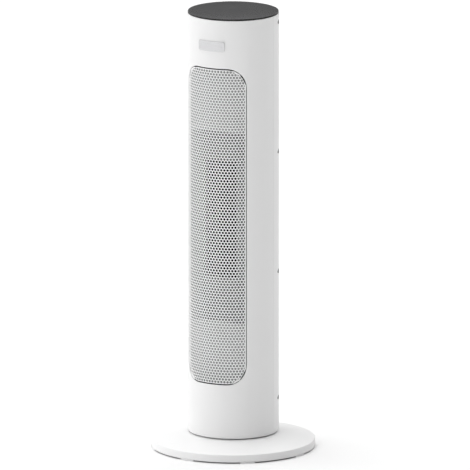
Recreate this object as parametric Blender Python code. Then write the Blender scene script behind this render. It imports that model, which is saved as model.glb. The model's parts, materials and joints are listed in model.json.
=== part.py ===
"""Oscillating ceramic tower heater: a round tower that turns on a round base.

The origin is the middle of the footprint on the floor, +Z is up and the air outlet faces -Y.
"""

import math

import bmesh
import bpy
from mathutils import Matrix, Vector

# Overall sizes
TOTAL_HEIGHT = 0.695
BODY_RADIUS = 0.0715
BASE_RADIUS = 0.128

# Clearances
FIT_GAP = 0.0003
RUNNING_GAP = 0.0005

# Base
BASE_STEPS = 56
FOOT_COUNT = 8
FOOT_HEIGHT = 0.0027
FOOT_HALF_ANGLE = math.radians(5.2)
FOOT_FIRST_ANGLE = math.radians(-95.5)
FOOT_DEPTH = 0.016
RIM_HEIGHT = 0.011
RIM_ROUND = 0.0015
DOME_RISE = 0.0105
DOME_CROWN = 0.0008
BASE_WALL = 0.0028
BOTTOM_PLATE_THICKNESS = 0.002
BASE_SCREW_COUNT = 4
BASE_SCREW_CIRCLE = 0.085
BASE_SCREW_RADIUS = 0.0014
BASE_SCREW_GRIP = 0.006
BASE_BOSS_RADIUS = 0.004
BASE_HEAD_RADIUS = 0.003
BASE_HEAD_HEIGHT = 0.0015

# Turntable
TURNTABLE_GAP = 0.002
BEARING_WIDTH = 0.008
BEARING_DEPTH = 0.0017
SPIGOT_RADIUS = 0.012
CORD_PASSAGE_RADIUS = 0.008
SPIGOT_END_HEIGHT = 0.0085
RETAINER_RADIUS = 0.020
RETAINER_THICKNESS = 0.0023
GEAR_MODULE = 0.0016
SUN_TEETH = 30
PINION_TEETH = 12
GEAR_BACKLASH = 0.0004
GEAR_WIDTH = 0.0055
CHAMBER_DEPTH = 0.009
CHAMBER_MARGIN = 0.0015
PINION_SHAFT_RADIUS = 0.0025

# Casing
CASING_WALL = 0.0026
CASING_STEPS = 48
LOWER_EDGE_INSET = 0.0018
LOWER_EDGE_HEIGHT = 0.005
LIP_WIDTH = 0.0049
LIP_THICKNESS = 0.0025
CAP_FLANGE_THICKNESS = 0.0025
PLATE_THICKNESS = 0.0028
PLATE_INSET = 0.0008
TRAY_DEPTH = 0.0065
TRAY_WALL = 0.0022
TRAY_LEDGE = 0.0065
BOARD_THICKNESS = 0.0016

# Casing screws, driven from the rear
SCREW_HEIGHTS = (0.080, 0.282, 0.473, 0.679)
SCREW_INSET = 0.0063
SCREW_RADIUS = 0.00145
SCREW_HEAD_RADIUS = 0.0032
SCREW_HEAD_HEIGHT = 0.002
POCKET_RADIUS = 0.004
POCKET_WALL = 0.0016
POCKET_FLOOR = 0.008
FRONT_BOSS_RADIUS = 0.0046
FRONT_BOSS_LENGTH = 0.014

# Air outlet
OUTLET_HALF_ANGLE = math.radians(46.7)
OUTLET_LOW = 0.112
OUTLET_HIGH = 0.616
OUTLET_CORNER = 0.032
GRILLE_MARGIN = 0.0015
GRILLE_RECESS = 0.001
GRILLE_SHEET = 0.0008
GRILLE_ROLL = 0.0026
GRILLE_FLANGE = 0.0035

# Air intake
INTAKE_HALF_ANGLE = math.radians(42)
INTAKE_LOW = 0.252
INTAKE_HIGH = 0.488
INTAKE_CORNER = 0.012
INTAKE_MARGIN = 0.0005
INTAKE_SHEET = 0.002
INTAKE_FLANGE = 0.004
SLOT_HEIGHT = 0.007
SLOT_PITCH = 0.014
SLOT_RIB_ANGLE = math.radians(3)
SLOT_END_ANGLE = math.radians(36)
FILTER_THICKNESS = 0.001

# Nameplate, left blank
BADGE_WIDTH = 0.046
BADGE_HEIGHT = 0.016
BADGE_CORNER = 0.003
BADGE_MIDDLE = 0.651
BADGE_THICKNESS = 0.0009

# Air duct and heater
DUCT_DEPTH = 0.038
DUCT_WALL = 0.002
DUCT_MARGIN = 0.004
HEATER_WIDTH = 0.067
HEATER_LOW = 0.210
HEATER_HIGH = 0.524
HEATER_THICKNESS = 0.026
HEATER_FLANGE = 0.004
CORE_LOW = 0.277
CORE_HIGH = 0.464
CORE_THICKNESS = 0.018
FRAME_SIDE = 0.0055
FIN_COUNT = 14
FIN_DEPTH = 0.006
CUTOUT_RADIUS = 0.008
CUTOUT_HEIGHT = 0.005
FUSE_RADIUS = 0.002
FUSE_LENGTH = 0.014
TERMINAL_OFFSET = 0.015
TERMINAL_SIZE = (0.006, 0.005, 0.010)
TERMINAL_RISE = 0.012
LEAD_RADIUS = 0.0012
LEAD_STEPS = 14
LEAD_SPREAD = 0.006
LEAD_BOW = 0.004
CUTOUT_RISE = 0.009

# Blower
FAN_OFFSET = 0.022
FAN_RADIUS = 0.026
FAN_BLADES = 24
FAN_BLADE_DEPTH = 0.006
FAN_DISC = 0.003
FAN_END_GAP = 0.004
BLADE_OPENING = 0.72
BLADE_SWEEP = 0.15
SHAFT_RADIUS = 0.0025
SCROLL_GAP = 0.004
SCROLL_WALL = 0.0025
SCROLL_START = math.radians(125)
SCROLL_SWEEP = math.radians(105)
TONGUE_START = math.radians(-35)
TONGUE_SWEEP = math.radians(40)
BULKHEAD_THICKNESS = 0.003
BULKHEAD_CLEARANCE = 0.001
MOTOR_RADIUS = 0.024
MOTOR_LENGTH = 0.047
BUSH_RADIUS = 0.0077
BUSH_LENGTH = 0.008

# Control and safety parts
BOARD_SIZE = (0.072, 0.0016, 0.075)
BOARD_BOTTOM = 0.113
BOARD_STANDOFF = 0.014
CAPACITOR_PLACE = (0.018, 0.024)
CAPACITOR_RADIUS = 0.007
CAPACITOR_LENGTH = 0.013
STANDOFF_RADIUS = 0.003
STANDOFF_INSET = 0.006
OSCILLATION_MOTOR_RADIUS = 0.022
OSCILLATION_MOTOR_HEIGHT = 0.020
OSCILLATION_SHAFT_DEPTH = 0.008
MOTOR_EAR_LENGTH = 0.029
MOTOR_EAR_WIDTH = 0.008
MOTOR_EAR_THICKNESS = 0.0015
TIP_SWITCH_SIZE = (0.018, 0.014, 0.022)
TIP_SWITCH_PLACE = (-0.038, -0.018)

# Mains switch and cord inlet
SWITCH_HEIGHT = 0.088
SWITCH_FRAME = (0.021, 0.0016, 0.028)
SWITCH_BODY = (0.016, 0.012, 0.023)
SWITCH_SEAT = 0.0016
ROCKER_HALF_WIDTH = 0.0064
ROCKER_HALF_LENGTH = 0.0092
ROCKER_DEPTH = 0.0037
ROCKER_RISE = 0.0052
ROCKER_DIP = 0.0042
ROCKER_TILT = math.radians(8)
GLAND_HEIGHT = 0.052
GLAND_RADIUS = 0.006
GLAND_BORE = 0.0036
GLAND_FLANGE_RADIUS = 0.008
GLAND_FLANGE = 0.0022

# Blocks on the main board: left, right, lower edge, upper edge and depth
BOARD_BLOCKS = (
    (-0.030, -0.012, 0.010, 0.034, 0.014),
    (-0.028, -0.010, 0.044, 0.062, 0.011),
    (0.006, 0.030, 0.050, 0.062, 0.009),
)

# Heights and radii that follow
BASE_BOTTOM = FOOT_HEIGHT + FIT_GAP
RIM_TOP = BASE_BOTTOM + RIM_HEIGHT
BASE_TOP = RIM_TOP + DOME_RISE
TOWER_BOTTOM = BASE_TOP + TURNTABLE_GAP
PLATE_BOTTOM = TOTAL_HEIGHT - PLATE_THICKNESS
CASING_TOP = PLATE_BOTTOM - FIT_GAP
INNER_RADIUS = BODY_RADIUS - CASING_WALL
CORE_RADIUS = INNER_RADIUS - FIT_GAP
LIP_TOP = TOWER_BOTTOM + LIP_THICKNESS
CAP_TOP = LIP_TOP + FIT_GAP + CAP_FLANGE_THICKNESS
SUN_RADIUS = SUN_TEETH * GEAR_MODULE / 2
PINION_RADIUS = PINION_TEETH * GEAR_MODULE / 2
GEAR_CENTRES = SUN_RADIUS + PINION_RADIUS + GEAR_BACKLASH
CHAMBER_RADIUS = GEAR_CENTRES + PINION_RADIUS + GEAR_MODULE + CHAMBER_MARGIN
CHAMBER_FLOOR = BASE_TOP - CHAMBER_DEPTH
FLOOR_BOTTOM = CHAMBER_FLOOR - BASE_WALL
GEAR_BOTTOM = CHAMBER_FLOOR + FIT_GAP
BEARING_INNER = CHAMBER_RADIUS + 2 * BASE_WALL
BEARING_OUTER = BEARING_INNER + BEARING_WIDTH
SCREW_OFFSET = BODY_RADIUS - SCREW_INSET
HEATER_BACK = -DUCT_DEPTH - DUCT_WALL / 2 + HEATER_THICKNESS
DUCT_LOW = OUTLET_LOW - DUCT_MARGIN
DUCT_HIGH = OUTLET_HIGH + DUCT_MARGIN
LOWER_BULKHEAD = INTAKE_LOW - INTAKE_FLANGE - BULKHEAD_CLEARANCE - BULKHEAD_THICKNESS
UPPER_BULKHEAD = INTAKE_HIGH + INTAKE_FLANGE + BULKHEAD_CLEARANCE
FAN_LOW = LOWER_BULKHEAD + BULKHEAD_THICKNESS + FAN_END_GAP
FAN_HIGH = UPPER_BULKHEAD - FAN_END_GAP
BOARD_FRONT = -DUCT_DEPTH + DUCT_WALL + BOARD_STANDOFF
SWITCH_PLANE = BODY_RADIUS - SWITCH_SEAT

# Finishes: colour, roughness, metallic
FINISHES = {
    "white_plastic": ((0.86, 0.86, 0.86), 0.38, 0.0),
    "duct_plastic": ((0.80, 0.80, 0.80), 0.55, 0.0),
    "grille_metal": ((0.78, 0.78, 0.78), 0.42, 0.2),
    "smoke_panel": ((0.09, 0.09, 0.095), 0.32, 0.0),
    "foot_rubber": ((0.74, 0.74, 0.74), 0.80, 0.0),
    "badge_metal": ((0.66, 0.66, 0.67), 0.35, 0.9),
    "black_plastic": ((0.03, 0.03, 0.03), 0.50, 0.0),
    "grey_plastic": ((0.42, 0.42, 0.42), 0.60, 0.0),
    "acetal": ((0.85, 0.84, 0.80), 0.35, 0.0),
    "heater_fins": ((0.20, 0.20, 0.21), 0.45, 0.8),
    "steel": ((0.62, 0.62, 0.64), 0.35, 1.0),
    "zinc_steel": ((0.52, 0.53, 0.55), 0.40, 1.0),
    "bronze": ((0.55, 0.38, 0.18), 0.40, 1.0),
    "circuit_board": ((0.05, 0.20, 0.10), 0.45, 0.0),
    "filter_mesh": ((0.10, 0.10, 0.10), 0.85, 0.0),
    "lead_insulation": ((0.75, 0.74, 0.70), 0.60, 0.0),
}


def finish(name):
    """The named finish as a material, made once."""
    material = bpy.data.materials.get(name)
    if material:
        return material
    colour, roughness, metallic = FINISHES[name]
    material = bpy.data.materials.new(name)
    material.use_nodes = True
    shader = material.node_tree.nodes["Principled BSDF"]
    shader.inputs["Base Color"].default_value = (*colour, 1.0)
    shader.inputs["Roughness"].default_value = roughness
    shader.inputs["Metallic"].default_value = metallic
    material.diffuse_color = (*colour, 1.0)
    return material


def solid(name, bm, finish_name):
    """Turns a bmesh into a linked object, smooth where its faces are nearly level."""
    bmesh.ops.recalc_face_normals(bm, faces=bm.faces)
    mesh = bpy.data.meshes.new(name)
    bm.to_mesh(mesh)
    bm.free()
    mesh.shade_smooth()
    mesh.set_sharp_from_angle(angle=math.radians(30))
    mesh.materials.append(finish(finish_name))
    obj = bpy.data.objects.new(name, mesh)
    bpy.context.scene.collection.objects.link(obj)
    return obj


def axis_empty(name, location=(0, 0, 0), parent=None):
    """An empty on a joint's axis, which carries the pieces that turn about it."""
    empty = bpy.data.objects.new(name, None)
    empty.empty_display_size = 0.02
    empty.location = location
    empty.parent = parent
    bpy.context.scene.collection.objects.link(empty)
    return empty


def place(obj, parent, location=(0, 0, 0), rotation=(0, 0, 0)):
    obj.parent = parent
    obj.location = location
    obj.rotation_euler = rotation
    return obj


def turned(name, outline, finish_name, steps=32, start=0.0, sweep=math.tau):
    """A closed (radius, height) outline turned about Z, all the way or through a sweep."""
    bm = bmesh.new()
    points = [bm.verts.new((r * math.cos(start), r * math.sin(start), z)) for r, z in outline]
    if sweep < math.tau:
        section = [bm.faces.new(points)]
    else:
        section = [bm.edges.new(pair) for pair in zip(points, points[1:] + points[:1])]
    bmesh.ops.spin(bm, geom=section, cent=(0, 0, 0), axis=(0, 0, 1), steps=steps, angle=sweep)
    bmesh.ops.remove_doubles(bm, verts=bm.verts, dist=1e-6)
    return solid(name, bm, finish_name)


def prism(name, outline, low, high, finish_name):
    """A closed (x, y) outline extruded from one height to another."""
    bm = bmesh.new()
    floor = bm.faces.new([bm.verts.new((x, y, low)) for x, y in outline])
    raised = bmesh.ops.extrude_face_region(bm, geom=[floor])["geom"]
    rim = [item for item in raised if isinstance(item, bmesh.types.BMVert)]
    bmesh.ops.translate(bm, verts=rim, vec=(0, 0, high - low))
    return solid(name, bm, finish_name)


def boxes(name, corners, finish_name):
    """One object of the boxes given as pairs of lowest and highest corners."""
    bm = bmesh.new()
    for low, high in corners:
        low, high = Vector(low), Vector(high)
        made = bmesh.ops.create_cube(bm, size=1)["verts"]
        bmesh.ops.scale(bm, verts=made, vec=high - low)
        bmesh.ops.translate(bm, verts=made, vec=(low + high) / 2)
    return solid(name, bm, finish_name)


def rods(name, ends, radius, finish_name, steps=12):
    """One object of the rods given as pairs of end points, all of one radius."""
    bm = bmesh.new()
    for start, end in ends:
        start, end = Vector(start), Vector(end)
        along = end - start
        made = bmesh.ops.create_cone(
            bm, cap_ends=True, segments=steps, radius1=radius, radius2=radius, depth=along.length
        )["verts"]
        turn = Vector((0, 0, 1)).rotation_difference(along).to_matrix()
        bmesh.ops.rotate(bm, verts=made, matrix=turn)
        bmesh.ops.translate(bm, verts=made, vec=(start + end) / 2)
    return solid(name, bm, finish_name)


def combine(obj, tool, operation):
    """Adds a Boolean modifier that uses the tool, and turns the tool into a hidden guide."""
    modifier = obj.modifiers.new(tool.name, "BOOLEAN")
    modifier.operation = operation
    modifier.solver = "EXACT"
    modifier.object = tool
    tool.hide_render = True
    tool.display_type = "WIRE"
    return obj


def cut(obj, tool):
    return combine(obj, tool, "DIFFERENCE")


def join(obj, tool):
    return combine(obj, tool, "UNION")


def trim(obj, tool):
    return combine(obj, tool, "INTERSECT")


def panel_edges(half_width, half_height, corner, corner_steps=6, edge_steps=8):
    """The lower edge of a rounded rectangle from left to right, and the upper edge above it."""
    lower = []
    for step in range(corner_steps + 1):
        angle = math.pi + step / corner_steps * math.pi / 2
        lower.append((corner - half_width + corner * math.cos(angle), angle))
    straight = 2 * (half_width - corner)
    inner = [corner - half_width + straight * step / edge_steps for step in range(1, edge_steps)]
    heights = [corner - half_height + corner * math.sin(angle) for _, angle in lower]
    left = [(u, v) for (u, _), v in zip(lower, heights)]
    right = [(-u, v) for u, v in reversed(left)]
    bottom = left + [(u, -half_height) for u in inner] + right
    return bottom, [(u, -v) for u, v in bottom]


def curved_panel(name, panel, section, radius, middle_angle, finish_name):
    """A rounded rectangle wrapped on a cylinder.

    panel holds its half angle, lowest and highest height and corner radius. section runs from
    the outer face's edge to the inner face's edge as (inset, radial offset) pairs.
    """
    half_angle, low, high, corner = panel
    bm = bmesh.new()
    loops = []
    for inset, offset in section:
        half_width = half_angle * BODY_RADIUS - inset
        half_height = (high - low) / 2 - inset
        edges = panel_edges(half_width, half_height, corner - inset)
        distance = radius + offset
        rows = []
        for edge in edges:
            row = []
            for u, v in edge:
                angle = middle_angle + u / BODY_RADIUS
                point = (distance * math.cos(angle), distance * math.sin(angle))
                row.append(bm.verts.new((*point, (low + high) / 2 + v)))
            rows.append(row)
        loops.append(rows)
    for bottom, top in (loops[0], loops[-1]):
        for k in range(len(bottom) - 1):
            bm.faces.new((bottom[k], bottom[k + 1], top[k + 1], top[k]))
    for first, second in zip(loops, loops[1:]):
        ring = first[0] + first[1][::-1]
        following = second[0] + second[1][::-1]
        for k in range(len(ring)):
            after = (k + 1) % len(ring)
            bm.faces.new((ring[k], ring[after], following[after], following[k]))
    return solid(name, bm, finish_name)


def disc_part(radius, y_from, steps=24):
    """The part of a disc about the origin behind the line y = y_from, as an outline."""
    reach = math.acos(y_from / radius)
    angles = [math.pi / 2 - reach + 2 * reach * k / steps for k in range(steps + 1)]
    return [(radius * math.cos(angle), radius * math.sin(angle)) for angle in angles]


def gear_outline(teeth, tip_share=0.20, pitch_share=0.42, root_share=0.58):
    """A toothed wheel with its first tooth on the +X axis."""
    pitch = math.tau / teeth
    radius = teeth * GEAR_MODULE / 2
    root, tip = radius - 1.2 * GEAR_MODULE, radius + 0.9 * GEAR_MODULE
    flank = ((root, -root_share), (radius, -pitch_share), (tip, -tip_share))
    points = []
    for tooth in range(teeth):
        for r, share in flank + tuple((r, -share) for r, share in reversed(flank)):
            angle = pitch * (tooth + share / 2)
            points.append((r * math.cos(angle), r * math.sin(angle)))
    return points


def around(count, radius, first=0.0):
    """Points evenly spaced on a circle."""
    angles = [first + math.tau * k / count for k in range(count)]
    return [(radius * math.cos(angle), radius * math.sin(angle)) for angle in angles]


# Base


def dome_height(r, crown=DOME_CROWN):
    """The height of the base's upper surface at a radius outside the tower."""
    outer = BASE_RADIUS - RIM_ROUND
    share = (outer - r) / (outer - BODY_RADIUS)
    return RIM_TOP + DOME_RISE * share + 4 * crown * share * (1 - share)


def make_base_cover(parent):
    outer_steps = 4
    outer = BASE_RADIUS - RIM_ROUND
    dome_radii = [outer + (BODY_RADIUS - outer) * k / outer_steps for k in range(1, outer_steps + 1)]
    rim = []
    for k in range(4):
        angle = math.pi / 2 * k / 3
        rim.append((outer + RIM_ROUND * math.cos(angle), RIM_TOP - RIM_ROUND * (1 - math.sin(angle))))
    groove = BASE_TOP - BEARING_DEPTH
    under = groove - BASE_WALL
    outline = [(BASE_RADIUS - BASE_WALL, BASE_BOTTOM), (BASE_RADIUS, BASE_BOTTOM)] + rim
    outline += [(r, dome_height(r)) for r in dome_radii]
    outline += [(BEARING_OUTER, BASE_TOP), (BEARING_OUTER, groove), (BEARING_INNER, groove)]
    outline += [(BEARING_INNER, BASE_TOP), (CHAMBER_RADIUS, BASE_TOP), (CHAMBER_RADIUS, CHAMBER_FLOOR)]
    outline += [(SPIGOT_RADIUS + RUNNING_GAP, CHAMBER_FLOOR), (SPIGOT_RADIUS + RUNNING_GAP, FLOOR_BOTTOM)]
    outline += [(CHAMBER_RADIUS + BASE_WALL, FLOOR_BOTTOM), (CHAMBER_RADIUS + BASE_WALL, under)]
    outline += [(BEARING_OUTER + BASE_WALL, under)]
    outline += [(r, dome_height(r) - BASE_WALL) for r in reversed(dome_radii[:-1])]
    outline += [(BASE_RADIUS - BASE_WALL, dome_height(outer) - BASE_WALL)]
    cover = place(turned("base_cover", outline, "white_plastic", BASE_STEPS), parent)
    plate_top = BASE_BOTTOM + BOTTOM_PLATE_THICKNESS + FIT_GAP
    boss_top = dome_height(BASE_SCREW_CIRCLE) - BASE_WALL / 2
    spots = around(BASE_SCREW_COUNT, BASE_SCREW_CIRCLE, math.pi / 4)
    bosses = [((x, y, plate_top), (x, y, boss_top)) for x, y in spots]
    join(cover, rods("base_bosses", bosses, BASE_BOSS_RADIUS, "white_plastic", 12))
    holes = [((x, y, plate_top - FIT_GAP), (x, y, boss_top - BASE_WALL)) for x, y in spots]
    cut(cover, rods("base_boss_holes", holes, BASE_SCREW_RADIUS + FIT_GAP, "white_plastic", 12))


def make_bottom_plate(parent):
    top = BASE_BOTTOM + BOTTOM_PLATE_THICKNESS
    radius = BASE_RADIUS - BASE_WALL - FIT_GAP
    outline = [(0, BASE_BOTTOM), (radius, BASE_BOTTOM), (radius, top), (0, top)]
    plate = place(turned("base_bottom_plate", outline, "black_plastic", 48), parent)
    spots = around(BASE_SCREW_COUNT, BASE_SCREW_CIRCLE, math.pi / 4)
    holes = [((x, y, BASE_BOTTOM - FIT_GAP), (x, y, top + FIT_GAP)) for x, y in spots]
    cut(plate, rods("plate_holes", holes, BASE_SCREW_RADIUS + FIT_GAP, "black_plastic", 12))


def screw_outline(shank_radius, head_radius, head_height, length):
    """A pan head screw that points down, with the underside of its head at height 0."""
    chamfer = head_height / 3
    outline = [(0, head_height), (0, -length), (shank_radius / 2, -length)]
    outline += [(shank_radius, shank_radius - length), (shank_radius, 0), (head_radius, 0)]
    return outline + [(head_radius, head_height - chamfer), (head_radius - chamfer, head_height)]


def make_base_screws(parent):
    length = BOTTOM_PLATE_THICKNESS + 2 * FIT_GAP + BASE_SCREW_GRIP
    outline = screw_outline(BASE_SCREW_RADIUS, BASE_HEAD_RADIUS, BASE_HEAD_HEIGHT, length)
    for k, (x, y) in enumerate(around(BASE_SCREW_COUNT, BASE_SCREW_CIRCLE, math.pi / 4), 1):
        screw = turned(f"base_screw_{k}", outline, "zinc_steel", 10)
        place(screw, parent, (x, y, BASE_BOTTOM - FIT_GAP), (math.pi, 0, 0))


def make_feet(parent):
    outer = BASE_RADIUS - FIT_GAP
    outline = [(outer - FOOT_DEPTH, 0), (outer, 0), (outer, FOOT_HEIGHT), (outer - FOOT_DEPTH, FOOT_HEIGHT)]
    for k in range(FOOT_COUNT):
        foot = turned(f"base_foot_{k + 1}", outline, "foot_rubber", 6, -FOOT_HALF_ANGLE, 2 * FOOT_HALF_ANGLE)
        place(foot, parent, rotation=(0, 0, FOOT_FIRST_ANGLE + math.tau * k / FOOT_COUNT))


def make_bearing_ring(parent):
    low = BASE_TOP - BEARING_DEPTH + FIT_GAP
    high = TOWER_BOTTOM - FIT_GAP
    inner, outer = BEARING_INNER + FIT_GAP, BEARING_OUTER - FIT_GAP
    outline = [(inner, low), (outer, low), (outer, high), (inner, high)]
    place(turned("bearing_ring", outline, "acetal", 36), parent)


def make_fixed_gear(parent):
    gear = prism("fixed_gear", gear_outline(SUN_TEETH), GEAR_BOTTOM, GEAR_BOTTOM + GEAR_WIDTH, "acetal")
    bore = [((0, 0, CHAMBER_FLOOR), (0, 0, BASE_TOP))]
    cut(gear, rods("fixed_gear_bore", bore, SPIGOT_RADIUS + RUNNING_GAP, "acetal", 24))
    place(gear, parent, rotation=(0, 0, math.pi / 2))


# Tower casing


def casing_outline():
    """The section of the casing's wall, with a rounded lower edge and a lip that turns inwards."""
    lip_radius = INNER_RADIUS - LIP_WIDTH
    outline = [(INNER_RADIUS, CASING_TOP), (INNER_RADIUS, LIP_TOP), (lip_radius, LIP_TOP)]
    outline += [(lip_radius, TOWER_BOTTOM)]
    steps = 5
    for k in range(steps + 1):
        angle = math.pi / 2 * k / steps
        r = BODY_RADIUS - LOWER_EDGE_INSET * (1 - math.sin(angle))
        outline.append((r, TOWER_BOTTOM + LOWER_EDGE_HEIGHT * (1 - math.cos(angle))))
    return outline + [(BODY_RADIUS, CASING_TOP)]


def casing_half(name, start):
    """Half of the casing, short of the parting plane by half a gap on each side."""
    seam = FIT_GAP / 2 / BODY_RADIUS
    steps = CASING_STEPS // 2
    return turned(name, casing_outline(), "white_plastic", steps, start + seam, math.pi - 2 * seam)


def screw_spots():
    return [(side * SCREW_OFFSET, z) for side in (-1, 1) for z in SCREW_HEIGHTS]


def make_front_casing(parent):
    casing = place(casing_half("front_casing", math.pi), parent)
    panel = (OUTLET_HALF_ANGLE, OUTLET_LOW, OUTLET_HIGH, OUTLET_CORNER)
    section = ((0, CASING_WALL), (0, -3 * CASING_WALL))
    cut(casing, curved_panel("outlet_cut", panel, section, BODY_RADIUS, -math.pi / 2, "white_plastic"))
    face = -FIT_GAP / 2
    bosses = [((x, face, z), (x, -FRONT_BOSS_LENGTH, z)) for x, z in screw_spots()]
    join(casing, rods("front_bosses", bosses, FRONT_BOSS_RADIUS, "white_plastic", 12))
    holes = [((x, FIT_GAP, z), (x, CASING_WALL - FRONT_BOSS_LENGTH, z)) for x, z in screw_spots()]
    cut(casing, rods("front_boss_holes", holes, SCREW_RADIUS + FIT_GAP, "white_plastic", 10))


def make_rear_casing(parent):
    casing = place(casing_half("rear_casing", 0), parent)
    panel = (INTAKE_HALF_ANGLE, INTAKE_LOW, INTAKE_HIGH, INTAKE_CORNER)
    section = ((0, CASING_WALL), (0, -3 * CASING_WALL))
    cut(casing, curved_panel("intake_cut", panel, section, BODY_RADIUS, math.pi / 2, "white_plastic"))
    face, back = FIT_GAP / 2, BODY_RADIUS
    sleeves = [((x, face, z), (x, back, z)) for x, z in screw_spots()]
    sleeve = rods("rear_sleeves", sleeves, POCKET_RADIUS + POCKET_WALL, "white_plastic", 12)
    middle = BODY_RADIUS - CASING_WALL / 2
    core = [(0, TOWER_BOTTOM), (middle, TOWER_BOTTOM), (middle, CASING_TOP), (0, CASING_TOP)]
    trim(sleeve, turned("sleeve_limit", core, "white_plastic", CASING_STEPS))
    join(casing, sleeve)
    pockets = [((x, POCKET_FLOOR, z), (x, back, z)) for x, z in screw_spots()]
    cut(casing, rods("screw_pockets", pockets, POCKET_RADIUS, "white_plastic", 12))
    holes = [((x, -face, z), (x, POCKET_FLOOR + FIT_GAP, z)) for x, z in screw_spots()]
    cut(casing, rods("screw_holes", holes, SCREW_RADIUS + FIT_GAP, "white_plastic", 10))
    width, _, height = SWITCH_FRAME
    x, z = width / 2 + FIT_GAP, height / 2 + FIT_GAP
    seat = ((-x, SWITCH_PLANE, SWITCH_HEIGHT - z), (x, back + CASING_WALL, SWITCH_HEIGHT + z))
    cut(casing, boxes("switch_seat", [seat], "white_plastic"))
    width, _, height = SWITCH_BODY
    x, z = width / 2 + FIT_GAP, height / 2 + FIT_GAP
    hole = ((-x, INNER_RADIUS - CASING_WALL, SWITCH_HEIGHT - z), (x, back, SWITCH_HEIGHT + z))
    cut(casing, boxes("switch_hole", [hole], "white_plastic"))
    inlet = [((0, INNER_RADIUS - CASING_WALL, GLAND_HEIGHT), (0, back + CASING_WALL, GLAND_HEIGHT))]
    cut(casing, rods("gland_hole", inlet, GLAND_RADIUS + FIT_GAP, "white_plastic"))


def make_case_screws(parent):
    length = POCKET_FLOOR + FRONT_BOSS_LENGTH - CASING_WALL - 2 * FIT_GAP
    outline = screw_outline(SCREW_RADIUS, SCREW_HEAD_RADIUS, SCREW_HEAD_HEIGHT, length)
    for k, (x, z) in enumerate(screw_spots(), 1):
        screw = turned(f"case_screw_{k}", outline, "zinc_steel", 10)
        place(screw, parent, (x, POCKET_FLOOR + FIT_GAP, z), (-math.pi / 2, 0, 0))


def make_bottom_cap(parent):
    plug = INNER_RADIUS - LIP_WIDTH - FIT_GAP
    flange = LIP_TOP + FIT_GAP
    outline = [(CORD_PASSAGE_RADIUS, SPIGOT_END_HEIGHT), (SPIGOT_RADIUS, SPIGOT_END_HEIGHT)]
    outline += [(SPIGOT_RADIUS, TOWER_BOTTOM), (plug, TOWER_BOTTOM), (plug, flange), (CORE_RADIUS, flange)]
    outline += [(CORE_RADIUS, CAP_TOP), (CORD_PASSAGE_RADIUS, CAP_TOP)]
    cap = place(turned("bottom_cap", outline, "black_plastic", 40), parent)
    hole = [((0, GEAR_CENTRES, TOWER_BOTTOM - FIT_GAP), (0, GEAR_CENTRES, CAP_TOP + FIT_GAP))]
    cut(cap, rods("pinion_shaft_hole", hole, PINION_SHAFT_RADIUS + RUNNING_GAP, "black_plastic"))


def make_retaining_ring(parent):
    high = FLOOR_BOTTOM - FIT_GAP
    low = high - RETAINER_THICKNESS
    inner = SPIGOT_RADIUS + FIT_GAP
    outline = [(inner, low), (RETAINER_RADIUS, low), (RETAINER_RADIUS, high), (inner, high)]
    place(turned("retaining_ring", outline, "steel"), parent)


def make_top(parent):
    """The tray that closes the tower, the touch board in it and the smoked panel over both."""
    floor = CASING_TOP - TRAY_DEPTH
    wall = CORE_RADIUS - TRAY_WALL
    ledge = wall - TRAY_LEDGE
    board_bottom = PLATE_BOTTOM - FIT_GAP - BOARD_THICKNESS - FIT_GAP
    seat = board_bottom - FIT_GAP
    outline = [(0, floor), (CORE_RADIUS, floor), (CORE_RADIUS, CASING_TOP), (wall, CASING_TOP), (wall, seat)]
    outline += [(ledge, seat), (ledge, floor + TRAY_WALL), (0, floor + TRAY_WALL)]
    place(turned("top_tray", outline, "white_plastic", 40), parent)
    board = wall - FIT_GAP
    board_top = board_bottom + BOARD_THICKNESS
    outline = [(0, board_bottom), (board, board_bottom), (board, board_top), (0, board_top)]
    place(turned("touch_board", outline, "circuit_board", 40), parent)
    radius = BODY_RADIUS - PLATE_INSET
    bevel = PLATE_THICKNESS / 6
    outline = [(0, PLATE_BOTTOM), (radius, PLATE_BOTTOM), (radius, TOTAL_HEIGHT - bevel)]
    outline += [(radius - bevel, TOTAL_HEIGHT), (0, TOTAL_HEIGHT)]
    place(turned("top_panel", outline, "smoke_panel", CASING_STEPS), parent)


# Panels in the casing


def make_grille(parent):
    panel = (
        OUTLET_HALF_ANGLE - GRILLE_MARGIN / BODY_RADIUS,
        OUTLET_LOW + GRILLE_MARGIN,
        OUTLET_HIGH - GRILLE_MARGIN,
        OUTLET_CORNER - GRILLE_MARGIN,
    )
    drop = CASING_WALL + FIT_GAP - GRILLE_RECESS
    roll, sheet, flange = GRILLE_ROLL, GRILLE_SHEET, GRILLE_FLANGE
    section = ((roll, 0), (0.35 * roll, -0.15 * roll), (0, -0.5 * roll), (0, -drop), (-flange, -drop))
    section += ((-flange, -drop - sheet), (sheet, -drop - sheet), (sheet, -0.5 * roll - 0.3 * sheet))
    section += ((roll + 0.3 * sheet, -sheet),)
    radius = BODY_RADIUS - GRILLE_RECESS
    place(curved_panel("front_grille", panel, section, radius, -math.pi / 2, "grille_metal"), parent)


def intake_panel(margin):
    return (
        INTAKE_HALF_ANGLE - margin / BODY_RADIUS,
        INTAKE_LOW + margin,
        INTAKE_HIGH - margin,
        INTAKE_CORNER - margin,
    )


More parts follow.
